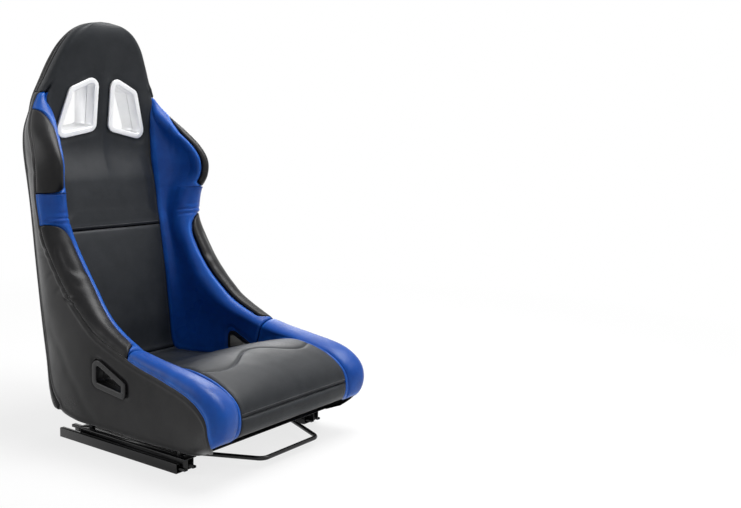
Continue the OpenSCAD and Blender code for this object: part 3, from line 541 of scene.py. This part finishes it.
def puffed(s, v, lift, groove=3.0, *, reach, puckers, waves, seed, shape=6, thick=9.0):
    """A pad's outside between its seams, its inside, the way it swells, its seam distances and its wear."""
    face, back = inner(s[:, None], v), rest(s[:, None], v)
    out = unit(face - back)
    du0, du1 = spans(face, 0)
    dv0, dv1 = spans(face, 1)
    u, w = du0 / (du0 + du1), dv0 / np.maximum(dv0 + dv1, 1e-6)
    swell = (1 - np.abs(2 * u - 1) ** shape) * (1 - np.abs(2 * w - 1) ** shape)
    distances = (du0, du1, dv0, dv1)
    sunk = seam_gap(distances, reach)
    near = np.minimum(np.minimum(du0, du1), np.minimum(dv0, dv1))
    rise = lift * swell - groove * sunk
    rise += waves * noise(face, 70, seed) * swell + waves * 0.35 * noise(face, 24, seed + 3) * swell
    rise += puckers * noise(face, 9, seed + 5) * np.exp(-near / 11) * (1 - sunk)
    top = face + out * rise[..., None]
    room = np.linalg.norm(face - back, axis=-1)
    low = face - out * np.minimum(thick, 0.6 * room)[..., None]
    return top, low, out, distances, ridge(near - 6, 4)


ROW_STEP = 3.0           # rough distance between the rows of a panel's grid
HAIR = 0.02              # what a panel stops short of its seam, in rows
INNER_V, OUTER_V = 1.006, 2.998  # the side pads' columns, just clear of their seams
seam_lines = []          # (name, side, thread, points)


def row_at(top, distance, reach, axis):
    """The line over a grid at a set distance from one of its ends."""
    if axis == 0:
        top, distance = np.swapaxes(top, 0, 1), distance.T
    return np.array([[np.interp(reach, d, row[:, k]) for k in range(3)] for d, row in zip(distance, top)])


def edge_width(s, foot, tip, foot_ramp, tip_ramp):
    """How far an edge pad reaches over the crest between its foot and its tip, with rounded ends."""
    ends = [np.clip(d, 0, 1) for d in ((s - foot) / foot_ramp, (tip - s) / tip_ramp)]
    return 0.67 * np.prod([np.sqrt(1 - (1 - d) ** 2) for d in ends], axis=0)


def edge_v(s):
    """The seam between the wing pads and the edge pads."""
    return 3 - edge_width(s, S_SHOULDER, S_TIP, 0.45, 1.6) - edge_width(s, S_THIGH, S_WAIST, 0.4, 1.6)


def pressed_by_lap_bezel(top, low):
    """The side pads dip to the flange round the inside of a lap opening; the quads to leave out come back."""
    hold = (1 - smooth((lap_distance(top) - 9) / 14)) * (top[..., 0] > 150)
    top[..., 0] = mix(top[..., 0], np.maximum(top[..., 0], LAP_FLANGE_X), hold)
    low[..., 0] = np.maximum(low[..., 0], top[..., 0] + 4 * hold)
    return lap_distance(centre(top)) < 4.5


# Creases as (y, z) from, (y, z) to, width and depth: darts where the wing pads turn in above
# the waist, gathers in the waist edge pads, and the pleat below them
DARTS = ((192, 497, 232, 494, 2.2, 1.8), (186, 486, 226, 482, 3.5, 1.5), (184, 512, 214, 509, 4.0, 1.0),
         (240, 700, 262, 640, 7.0, 1.8), (262, 712, 276, 650, 6.0, 1.2), (235, 560, 200, 600, 9.0, 1.2))
GATHERS = ((204, 446, 160, 366, 4.0, 3.2), (188, 440, 138, 376, 4.5, 3.4), (214, 440, 190, 398, 3.5, 2.2),
           (168, 400, 122, 350, 4.5, 1.6))
PLEAT = ((158, 326, 122, 320, 2.4, 3.2), (158, 334, 122, 328, 3.2, -3.2))


def make_wing_pads():
    s = along(S_THIGH + HAIR, S_HEAD - 0.03, ROW_STEP)
    v = even_columns(s, INNER_V, edge_v(s) - 0.015, 64)
    top, low, out, d, wear = puffed(s, v, LIFT, reach=(7, 8, 10, 7), puckers=0.5, waves=1.2, seed=11)
    top -= out * creases(inner(s[:, None], v), DARTS)[..., None]
    cut = pressed_by_lap_bezel(top, low)
    side_pads("wing_pad", BLUE_LEATHER, top, low, cut, wear)
    for side, hand in SIDES:
        seam_lines.append(("wing_seam" + hand, side, BLUE_THREAD, row_at(top, d[3], 5.0, 1)[4:-4]))
        seam_lines.append(("wing_foot_seam" + hand, side, BLUE_THREAD, row_at(top, d[0], 6.0, 0)[3:-3]))


def make_edge_pad(label, foot, tip, seed):
    s = along(foot + HAIR, tip - HAIR, ROW_STEP)
    v = even_columns(s, edge_v(s) + 0.015, OUTER_V, 24)
    top, low, out, d, wear = puffed(
        s, v, 3.0, 2.6, reach=(8, 8, 7, 6), puckers=0.5, waves=0.9, seed=seed, thick=5.0)
    face = inner(s[:, None], v)
    folds = creases(face, GATHERS) * smooth(np.minimum(d[1], d[3] - 4) / 12)
    folds = (folds + creases(face, PLEAT) * smooth(1 - (d[3] - 14) / 10)) * smooth(d[0] / 12)
    top -= out * folds[..., None]
    low -= out * (0.8 * np.maximum(folds, 0))[..., None]
    side_pads(label, COVER_LEATHER, top, low, None, wear)
    for side, hand in SIDES:
        seam_lines.append((label + "_stitch" + hand, side, THREAD, row_at(top, d[3], 4.5, 1)[3:-3]))


def make_thigh_bolsters():
    s = along(S_BLUE, S_THIGH - HAIR, ROW_STEP)
    v = even_columns(s, INNER_V, OUTER_V, 46)
    top, low, _, _, wear = puffed(s, v, LIFT, reach=(9, 8, 9, 7), puckers=0.4, waves=1.0, seed=41)
    cut = pressed_by_lap_bezel(top, low)
    side_pads("thigh_bolster", BLUE_LEATHER, top, low, cut, wear)


def lowered_round_harness(top):
    """The back pad dips to the flanges round the shoulder openings."""
    across = (np.abs(top[..., 0]) - 77) / 62
    up = (top[..., 2] - HARNESS_AT[1] + 4) / 84
    away = (across**4 + up**4) ** 0.25
    flange = HARNESS_AT[0] - math.tan(HARNESS_TILT) * (top[..., 2] - HARNESS_AT[1])
    target = flange + 1.0 - 2.4 * smooth((harness_distance(top) - 11.5) / 16)
    # A rounded maximum, so that no line shows where the pad meets the dip
    blend = 7
    share = np.clip(0.5 + (top[..., 1] - target) / (2 * blend), 0, 1)
    dip = mix(target, top[..., 1], share) + blend * share * (1 - share)
    top[..., 1] = mix(dip, top[..., 1], smooth((away - 0.86) / 1.35))


def make_lower_back_pad():
    s = along(S_BACK, S_MID - HAIR, ROW_STEP)
    v = even_columns(s, -1.0, 1.0, 96)
    top, low, _, d, wear = puffed(s, v, LIFT, 3.4, reach=(6, 7, 9, 9), puckers=0.25, waves=0.9, seed=51)
    middle_pad("lower_back_pad", top, low, None, wear)
    seam_lines.append(("back_seam_low", 1, THREAD, row_at(top, d[1], 5.5, 0)[2:-2]))


# Columns of the upper back pad: between the pad seams, on each side wall, and down the outside
MIDDLE_N, WRAP_N, DOWN_N = 110, 34, 14


def head_grids(s):
    """The upper back pad's face and back, which wrap over the crest and down the outside, and its v."""
    wrap = even_columns(s, 1.02, 2.99, WRAP_N)
    v = np.concatenate([-wrap[:, ::-1], even_columns(s, -1.0, 1.0, MIDDLE_N), wrap], 1)
    s, down = s[:, None], np.linspace(0.98, P_HEAD, DOWN_N)
    face = np.concatenate([outer(s, -down[::-1]), inner(s, v), outer(s, down)], 1)
    back = np.concatenate([outer(s, -down[::-1], COVER_T), rest(s, v), outer(s, down, COVER_T)], 1)
    outside = np.full((len(s), DOWN_N), 3.0)
    v = np.concatenate([-outside, v, outside], 1)
    # Above the wings the leather turns over the crest in one full round, which begins some
    # columns inside the pad seam and ends some columns before the leather's rear edge
    turn = smooth((s - S_HEAD) / 0.9)[:, None]
    total = v.shape[1]
    left = np.arange(DOWN_N + WRAP_N + MIDDLE_N - 9, total - 8)
    u = np.linspace(0, 1, len(left))[None, :, None]
    for side, columns in ((1, left), (-1, total - 1 - left)):
        first, last = face[:, columns[:1]], face[:, columns[-1:]]
        corner = np.stack([last[..., 0] + side, first[..., 1] - 2, (first[..., 2] + last[..., 2]) / 2], -1)
        arc = first * (1 - u) ** 2 + 2 * u * (1 - u) * corner + last * u**2
        face[:, columns] = mix(face[:, columns], arc, turn)
    return face, back, v


def make_upper_back_pad():
    """The upper back and the head's front are one leather."""
    s = along(S_MID + HAIR, ENDS, ROW_STEP, 0.95)
    s[np.argmin(np.abs(s - S_HEAD))] = S_HEAD - 0.01
    face, back, v = head_grids(s)
    # Four more rows close the top
    shrink = np.stack([np.array([0.75, 0.5, 0.25, 0.01]), np.ones(4), np.ones(4)], -1)[:, None]
    face = np.concatenate([face, face[-1:] * shrink])
    back = np.concatenate([back, back[-1:] * shrink])
    v = np.concatenate([v, np.repeat(v[-1:], 4, 0)])
    s = np.concatenate([s, np.full(4, float(ENDS))])
    crown = smooth((s - 25.3) / 1.5)[:, None, None]
    out = unit(mix(unit(face - back), np.array([0, -0.15, 1.0]), crown))
    cut = (np.abs(centre(v)) > 1.0) & (s[:-1, None] < S_HEAD - HAIR)
    rim = edge_distance(face, cut, True)
    sunk = drawn_in(rim, 7)
    rise = LIFT * smooth(rim / 42) * (1 - 0.6 * smooth((s - 21) / 4))[:, None] - 2.6 * sunk
    rise += 0.9 * noise(face, 70, 61) + 0.25 * noise(face, 9, 66) * np.exp(-rim / 11) * (1 - sunk)
    top = face + out * rise[..., None]
    thick = np.minimum(6.0, 0.5 * np.linalg.norm(face - back, axis=-1))
    low = face - out * mix(thick, 5.0, crown[..., 0])[..., None]
    lowered_round_harness(top)
    # Round the openings the inside keeps behind the outside
    middle = np.abs(v) < 1
    away = smooth((harness_distance(top) - 14) / 30)[..., None]
    low = np.where(middle[..., None], mix(top + np.array([0, 7.0, 0]), low, away), low)
    low[..., 1] = np.where(middle, np.maximum(low[..., 1], top[..., 1] + 4.0), low[..., 1])
    cut |= (harness_distance(centre(top)) < 6) & (np.abs(centre(v)) < 1)
    middle_pad("upper_back_pad", top, low, cut, ridge(rim - 6, 4))
    trimmed = DOWN_N + WRAP_N + 2
    top = top[:, trimmed:-trimmed]
    seam_lines.append(("back_seam_high", 1, THREAD, row_at(top, spans(top, 0)[0], 5.5, 0)[2:-2]))


def make_cushion():
    s = along(S_FRONT + HAIR, S_CUSHION, 2.0, 0.2)
    v = even_columns(s, -1.0, 1.0, 180)
    top, low, out, d, wear = puffed(
        s, v, 1.0, 2.6, reach=(0, 6, 9, 9), puckers=0.3, waves=1.0, seed=71, shape=8, thick=14)
    crown = 9 * (1 - v**2) * smooth((s[:, None] - 2) / 2) * (1 - smooth(s[:, None] - 8.8))
    # The sewn channel runs across in one wave: a narrow groove in a wide hollow
    wave = -200 + 24 * np.cos(math.radians(270) * v)
    across = lines(s)[:, None, SEAM_Y] - wave
    channel = 1.2 * ridge(across, 7) + 2.6 * ridge(across, 2.4)
    top[..., 2] += crown - channel * (1 - 0.4 * smooth((np.abs(v) - 0.9) / 0.1))
    top -= out * (2.4 * drawn_in(d[0], 7))[..., None]
    cut = (lap_distance(centre(top)) < 8) & (np.abs(centre(top)[..., 0]) > 150)
    middle_pad("seat_cushion", top, low, cut, wear)
    rows = [int(np.argmin(np.abs(across[:, j]))) for j in range(v.shape[1])]
    path = np.array([top[i, j] for j, i in enumerate(rows)])
    kernel = np.ones(5) / 5
    path = np.stack([np.convolve(np.pad(path[:, k], 2, "edge"), kernel, "valid") for k in range(3)], -1)
    seam_lines.append(("cushion_channel", 1, THREAD, path[2:-2]))
    seam_lines.append(("cushion_front_seam", 1, THREAD, row_at(top, d[0], 5.0, 0)[2:-2]))


def make_cushion_front():
    s = along(S_BLUE, S_FRONT - HAIR, ROW_STEP, 0.8)
    v = even_columns(s, -1.0, 1.0, 110)
    top, low, _, _, wear = puffed(s, v, 3.0, 2.4, reach=(7, 6, 8, 8), puckers=0.25, waves=0.7, seed=81)
    middle_pad("cushion_front", top, low, None, wear)


# -------------------------------------------------------------------- covers
def cover_skin(s, p, groove, reach, waves, puckers, seed):
    """A cover's outside with its sunk seams, its inside, its outward direction, seam distances and wear."""
    face = outer(s[:, None], p)
    inside = outer(s[:, None], p, COVER_T)
    out = unit(face - inside)
    distances = (*spans(face, 0), *spans(face, 1))
    sunk = seam_gap(distances, reach)
    near = np.minimum(distances[2], distances[3])
    rise = -groove * sunk + waves * noise(face, 90, seed) * (1 - sunk)
    rise += 1.3 * ridge(near - 10, 5) * (1 - sunk)
    rise += puckers * noise(face, 10, seed + 2) * np.exp(-near / 14) * (1 - sunk)
    return face + out * rise[..., None], inside, out, distances, ridge(near - 5, 3.5)


def cover_piece(label, hand, top, low, cut, wear):
    mesh = sheet_mesh(label + hand, top, low, cut, wear)
    new_object(label + "_leather" + hand, mesh, "seat", COVER_LEATHER, [label + hand])


# Folds gathered under the crest at the waist, and one long pull down the side: the place in
# y and z, length, slope, depth and width
FOLDS = ((205, 440, 70, -0.35, 2.0, 6), (190, 415, 60, -0.2, 1.7, 5), (172, 388, 55, -0.45, 1.5, 6),
         (215, 468, 60, -0.1, 1.4, 5), (150, 360, 50, -0.5, 1.2, 6), (262, 600, 80, 0.15, 1.2, 7),
         (240, 640, 60, 0.2, 1.0, 6), (150, 150, 150, 0.9, 0.9, 16))


def folded(face):
    depth = np.zeros(face.shape[:-1])
    for k, (y, z, length, slope, deep, wide) in enumerate(FOLDS):
        a, b = face[..., 1] - y, face[..., 2] - z
        t = a * math.cos(slope) + b * math.sin(slope)
        n = -a * math.sin(slope) + b * math.cos(slope) + 3 * np.sin(t / 14 + k)
        depth += deep * ridge(n, wide) * np.exp(-(t / length) ** 4)
    return depth


def make_side_covers():
    s = along(S_NOSE, S_HEAD - HAIR, ROW_STEP, 0.9)
    hem = mix(P_BASE, P_REAR, smooth((s - 7.8) / 1.2)) + 0.004
    v = even_columns(s, hem, 1.0, 100, outer)
    top, low, out, d, wear = cover_skin(s, v, 1.8, (5, 5, 6, 6), waves=0.8, puckers=0.4, seed=91)
    face = outer(s[:, None], v)
    sink = folded(face) * smooth(d[3] / 10) + creases(face, PLEAT) * smooth(1 - (d[3] - 16) / 12)
    sink += 1.6 * ridge(lap_distance(face) - 14, 5)
    top -= out * sink[..., None]
    cut = (lap_distance(centre(face)) < 11) & (centre(face)[..., 2] > 100)
    for side, hand in SIDES:
        cover_piece("side_cover", hand, mirrored(top, side), mirrored(low, side), cut, wear)
        seam_lines.append(("side_crest_stitch" + hand, side, THREAD, row_at(top, d[3], 6.5, 1)[3:-3]))
        seam_lines.append(("side_rear_stitch" + hand, side, THREAD, row_at(top, d[2], 7.0, 1)[3:-3]))


def make_back_cover():
    s = along(S_HEM, ENDS, ROW_STEP, 0.3)
    v = even_columns(s, -P_REAR, P_REAR, 150, outer)
    top, low, out, d, wear = cover_skin(s, v, 1.6, (4, 0, 6, 6), waves=1.0, puckers=0.3, seed=95)
    top -= out * (3.0 * (1 - smooth(d[0] / 16)))[..., None]
    # The leather is drawn down under the flanges of the shoulder openings
    held = (1 - smooth((harness_distance(top) - 13) / 10)) * (top[..., 1] > 300)
    top -= out * (2.4 * held)[..., None]
    cut = (harness_distance(centre(top)) < 6) & (centre(top)[..., 1] > 300)
    cover_piece("back_cover", "", top, low, cut, wear)
    seam_lines.append(("back_stitch_left", 1, THREAD, row_at(top, d[3], 7.0, 1)[3:-3]))
    seam_lines.append(("back_stitch_right", 1, THREAD, row_at(top, d[2], 7.0, 1)[3:-3]))


def make_head_band():
    """The narrow strip between the back cover and the head's front leather."""
    s = along(S_HEAD, ENDS, ROW_STEP, 0.95)[:, None]
    p = np.linspace(P_REAR + 0.008, P_HEAD - 0.008, 12)[None, :]
    half = outer(s, p)
    crown = smooth((s - 24) / 2)
    under = outer(s, p, COVER_T * (1 - 0.5 * crown)) - COVER_T * crown[..., None] * np.array([0, 0, 1])
    top = np.concatenate([half, mirrored(half, -1)[::-1]])
    low = np.concatenate([under, mirrored(under, -1)[::-1]])
    rim = edge_distance(top)
    sunk = drawn_in(rim, 5)
    rise = -1.6 * sunk + 0.5 * noise(top, 60, 97) * (1 - sunk)
    top = top + unit(top - low) * rise[..., None]
    cover_piece("head_band", "", top, low, None, ridge(rim - 4, 3))
    seam_lines.append(("head_rear_stitch", 1, THREAD, row_at(top, spans(top, 1)[0], 6.0, 1)[3:-3]))


# ------------------------------------------------------------------- stitches
def stitch_tree():
    """Geometry nodes that lay one rounded stitch after another along a path."""
    tree = bpy.data.node_groups.new("stitch_row", "GeometryNodeTree")
    face = tree.interface
    face.new_socket("Path", in_out="INPUT", socket_type="NodeSocketGeometry")
    for label, value in (("Pitch", 4.6), ("Stitch Length", 3.6), ("Thread Radius", 0.5)):
        face.new_socket(label, in_out="INPUT", socket_type="NodeSocketFloat").default_value = value * MM
    face.new_socket("Thread", in_out="INPUT", socket_type="NodeSocketMaterial")
    face.new_socket("Stitches", in_out="OUTPUT", socket_type="NodeSocketGeometry")
    add = tree.nodes.new
    link = tree.links.new
    start, end = add("NodeGroupInput"), add("NodeGroupOutput")
    curve = add("GeometryNodeMeshToCurve")
    resample = add("GeometryNodeResampleCurve")
    resample.mode = "LENGTH"
    ball = add("GeometryNodeMeshUVSphere")
    ball.inputs["Segments"].default_value = 6
    ball.inputs["Rings"].default_value = 4
    ball.inputs["Radius"].default_value = 1.0
    half = add("ShaderNodeMath")
    half.operation = "MULTIPLY"
    half.inputs[1].default_value = 0.5
    size = add("ShaderNodeCombineXYZ")
    tangent = add("GeometryNodeInputTangent")
    aim = add("FunctionNodeAlignRotationToVector")
    aim.axis = "Z"
    place_all = add("GeometryNodeInstanceOnPoints")
    realize = add("GeometryNodeRealizeInstances")
    paint = add("GeometryNodeSetMaterial")
    link(start.outputs["Path"], curve.inputs["Mesh"])
    link(curve.outputs["Curve"], resample.inputs["Curve"])
    link(start.outputs["Pitch"], resample.inputs["Length"])
    link(resample.outputs["Curve"], place_all.inputs["Points"])
    link(ball.outputs["Mesh"], place_all.inputs["Instance"])
    link(tangent.outputs["Tangent"], aim.inputs["Vector"])
    link(aim.outputs["Rotation"], place_all.inputs["Rotation"])
    link(start.outputs["Stitch Length"], half.inputs[0])
    link(start.outputs["Thread Radius"], size.inputs["X"])
    link(start.outputs["Thread Radius"], size.inputs["Y"])
    link(half.outputs[0], size.inputs["Z"])
    link(size.outputs[0], place_all.inputs["Scale"])
    link(place_all.outputs["Instances"], realize.inputs["Geometry"])
    link(realize.outputs["Geometry"], paint.inputs["Geometry"])
    link(start.outputs["Thread"], paint.inputs["Material"])
    link(paint.outputs["Geometry"], end.inputs["Stitches"])
    return tree


def make_stitches():
    tree = stitch_tree()
    sockets = {i.name: i.identifier for i in tree.interface.items_tree if i.in_out == "INPUT"}
    for name, side, thread, path in seam_lines:
        path = mirrored(path, side) * MM
        mesh = bpy.data.meshes.new(name)
        mesh.from_pydata(path.tolist(), [(i, i + 1) for i in range(len(path) - 1)], [])
        obj = bpy.data.objects.new(name, mesh)
        bpy.context.scene.collection.objects.link(obj)
        mod = obj.modifiers.new("stitches", "NODES")
        mod.node_group = tree
        mod[sockets["Thread"]] = thread
        graph = bpy.context.evaluated_depsgraph_get()
        made = bpy.data.meshes.new_from_object(obj.evaluated_get(graph))
        obj.modifiers.clear()
        obj.data = made
        made.polygons.foreach_set("use_smooth", np.ones(len(made.polygons), bool))
        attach(obj, "seat")


# ------------------------------------------------------------ hard pieces
def eased(label, hand, material, width, segments):
    """A rigid piece's own shape with its edges eased."""
    node, name = label + hand, label + "_eased" + hand
    mesh = NODES[node].data.copy()
    mesh.name = name
    work = bmesh.new()
    work.from_mesh(mesh)
    bmesh.ops.remove_doubles(work, verts=work.verts, dist=1e-5)
    work.to_mesh(mesh)
    work.free()
    mesh.polygons.foreach_set("use_smooth", np.ones(len(mesh.polygons), bool))
    obj = new_object(name, mesh, body_of(node), material, [node])
    bevel = obj.modifiers.new("eased_edges", "BEVEL")
    bevel.width = width * MM
    bevel.segments = segments
    bevel.limit_method = "ANGLE"
    bevel.angle_limit = math.radians(30)
    bevel.harden_normals = True


def repaint(node, material):
    obj = NODES[node]
    if obj.material_slots:
        for slot in obj.material_slots:
            slot.material = material
    else:
        obj.data.materials.append(material)


def body_of(node):
    bodies = frame["record"]["behaviour"]["bodies"]
    return next(body for body, members in bodies.items() if node in members)


FINISHES = (
    (RAIL_PAINT, ("lower_rail", "upper_rail", "lock_rack", "pivot_bracket", "seat_spacers", "towel_bar",
                  "release_arm", "latch_pawl")),
    (ZINC, ("seat_bolts", "rollers", "pivot_pins", "latch_spring", "insert_plate")),
    (CAGE_PLASTIC, ("roller_cage",)),
    (SHELL_PLASTIC, ("structural_shell",)),
    (BEZEL_SILVER, ("harness_bezel",)),
    (BEZEL_BLACK, ("belt_bezel",)),
)


def make_hard_pieces():
    for material, labels in FINISHES:
        for node in NODES:
            if node.startswith(labels):
                repaint(node, material)
    for _, hand in SIDES:
        eased("harness_bezel_front", hand, BEZEL_SILVER, 1.8, 4)
        eased("harness_bezel_rear", hand, BEZEL_SILVER, 1.2, 3)
        eased("belt_bezel_outer", hand, BEZEL_BLACK, 2.6, 5)
        eased("lower_rail", hand, RAIL_PAINT, 0.5, 2)
        eased("upper_rail", hand, RAIL_PAINT, 0.5, 2)


# --------------------------------------------------------------------- stage
def seen_directly(nodes, link):
    """1 for what the camera sees straight, through glass or in a shiny surface."""
    path = nodes.new("ShaderNodeLightPath")
    kinds = [path.outputs[k + " Ray"] for k in ("Is Camera", "Is Glossy", "Is Transmission")]
    for kind in kinds[1:]:
        either = nodes.new("ShaderNodeMath")
        either.operation = "MAXIMUM"
        link(kinds[0], either.inputs[0])
        link(kind, either.inputs[1])
        kinds[0] = either.outputs[0]
    return kinds[0]


def own_light_and_white(tree, light, white, share, end):
    """What is lit by the lamps, mixed with plain white by a share."""
    blend = tree.nodes.new("ShaderNodeMixShader")
    tree.links.new(share, blend.inputs[0])
    tree.links.new(light.outputs[0], blend.inputs[1])
    tree.links.new(white.outputs[0], blend.inputs[2])
    tree.links.new(blend.outputs[0], tree.nodes[end].inputs["Surface"])


def make_paper():
    """The floor's material, which runs out to plain white well beyond the seat's shadow."""
    mat = bpy.data.materials.new("studio_paper")
    mat.use_nodes = True
    nodes, link = mat.node_tree.nodes, mat.node_tree.links.new
    paper = nodes["Principled BSDF"]
    paper.inputs["Base Color"].default_value = (0.86, 0.86, 0.86, 1)
    paper.inputs["Roughness"].default_value = 0.9
    paper.inputs["Specular IOR Level"].default_value = 0.0
    white = nodes.new("ShaderNodeEmission")
    white.inputs["Color"].default_value = (1, 1, 1, 1)
    spot = nodes.new("ShaderNodeTexCoord")
    far = nodes.new("ShaderNodeVectorMath")
    far.operation = "LENGTH"
    fade = nodes.new("ShaderNodeMapRange")
    for key, value in (("From Min", 0.7), ("From Max", 2.4), ("To Min", 0.78), ("To Max", 1.0)):
        fade.inputs[key].default_value = value
    share = nodes.new("ShaderNodeMath")
    share.operation = "MULTIPLY"
    link(spot.outputs["Object"], far.inputs[0])
    link(far.outputs["Value"], fade.inputs["Value"])
    link(seen_directly(nodes, link), share.inputs[0])
    link(fade.outputs["Result"], share.inputs[1])
    own_light_and_white(mat.node_tree, paper, white, share.outputs[0], "Material Output")
    return mat


def make_floor():
    mesh = bpy.data.meshes.new("studio_floor")
    half = 9                # metres
    corners = [(-half, -half, 0), (half, -half, 0), (half, half, 0), (-half, half, 0)]
    mesh.from_pydata(corners, [], [(0, 1, 2, 3)])
    mesh.materials.append(make_paper())
    floor = bpy.data.objects.new("studio_floor", mesh)
    bpy.context.scene.collection.objects.link(floor)


def make_world():
    world = bpy.data.worlds.new("studio")
    bpy.context.scene.world = world
    world.use_nodes = True
    nodes, link = world.node_tree.nodes, world.node_tree.links.new
    light = nodes["Background"]
    light.inputs["Color"].default_value = (1, 1, 1, 1)
    light.inputs["Strength"].default_value = 0.11
    white = nodes.new("ShaderNodeBackground")
    white.inputs["Color"].default_value = (1, 1, 1, 1)
    white.inputs["Strength"].default_value = 1.0
    own_light_and_white(world.node_tree, light, white, seen_directly(nodes, link), "World Output")


def softbox(name, at, target, size, power):
    """A rectangular lamp turned to its target, in metres and watts."""
    data = bpy.data.lights.new(name, "AREA")
    data.shape = "RECTANGLE"
    data.size, data.size_y = size
    data.energy = power
    lamp = bpy.data.objects.new(name, data)
    lamp.location = at
    lamp.rotation_euler = (Vector(target) - Vector(at)).to_track_quat("-Z", "Y").to_euler()
    bpy.context.scene.collection.objects.link(lamp)


def make_lamps():
    softbox("overhead", (0.75, -0.35, 2.6), (0, 0.05, 0.4), (1.6, 1.6), 78)
    softbox("left_front", (-2.4, -1.6, 1.5), (0, 0, 0.5), (1.2, 1.8), 5)
    softbox("right_front", (1.2, -2.3, 2.3), (0, 0, 0.5), (1.5, 1.6), 27)
    softbox("left_rear", (-2.2, 2.0, 1.8), (0, 0.2, 0.5), (1.0, 1.8), 20)
    softbox("right_rear", (2.4, 1.8, 1.8), (0, 0.2, 0.5), (1.0, 1.8), 24)


def make_camera():
    sensor, frame_width, focal_length = 36.0, 741, 943.736    # in millimetres, then in pixels
    at = (-1.562107, -1.563968, 0.730719)
    pitch, heading, roll = (math.radians(a) for a in (82.1563, -55.705, 1.7255))
    data = bpy.data.cameras.new("camera")
    data.sensor_width = sensor
    data.lens = sensor * focal_length / frame_width
    data.clip_end = 50
    cam = bpy.data.objects.new("camera", data)
    turn = Matrix.Rotation(heading, 4, "Z") @ Matrix.Rotation(pitch, 4, "X") @ Matrix.Rotation(roll, 4, "Z")
    cam.matrix_world = Matrix.Translation(at) @ turn
    bpy.context.scene.collection.objects.link(cam)
    bpy.context.scene.camera = cam


bpy.context.scene.view_settings.view_transform = "Standard"
make_camera()
make_wing_pads()
make_edge_pad("shoulder_edge_pad", S_SHOULDER, S_TIP, 21)
make_edge_pad("waist_edge_pad", S_THIGH, S_WAIST, 31)
make_thigh_bolsters()
make_lower_back_pad()
make_upper_back_pad()
make_cushion()
make_cushion_front()
make_side_covers()
make_back_cover()
make_head_band()
make_stitches()
make_hard_pieces()
make_floor()
make_world()
make_lamps()
bpy.context.view_layer.update()
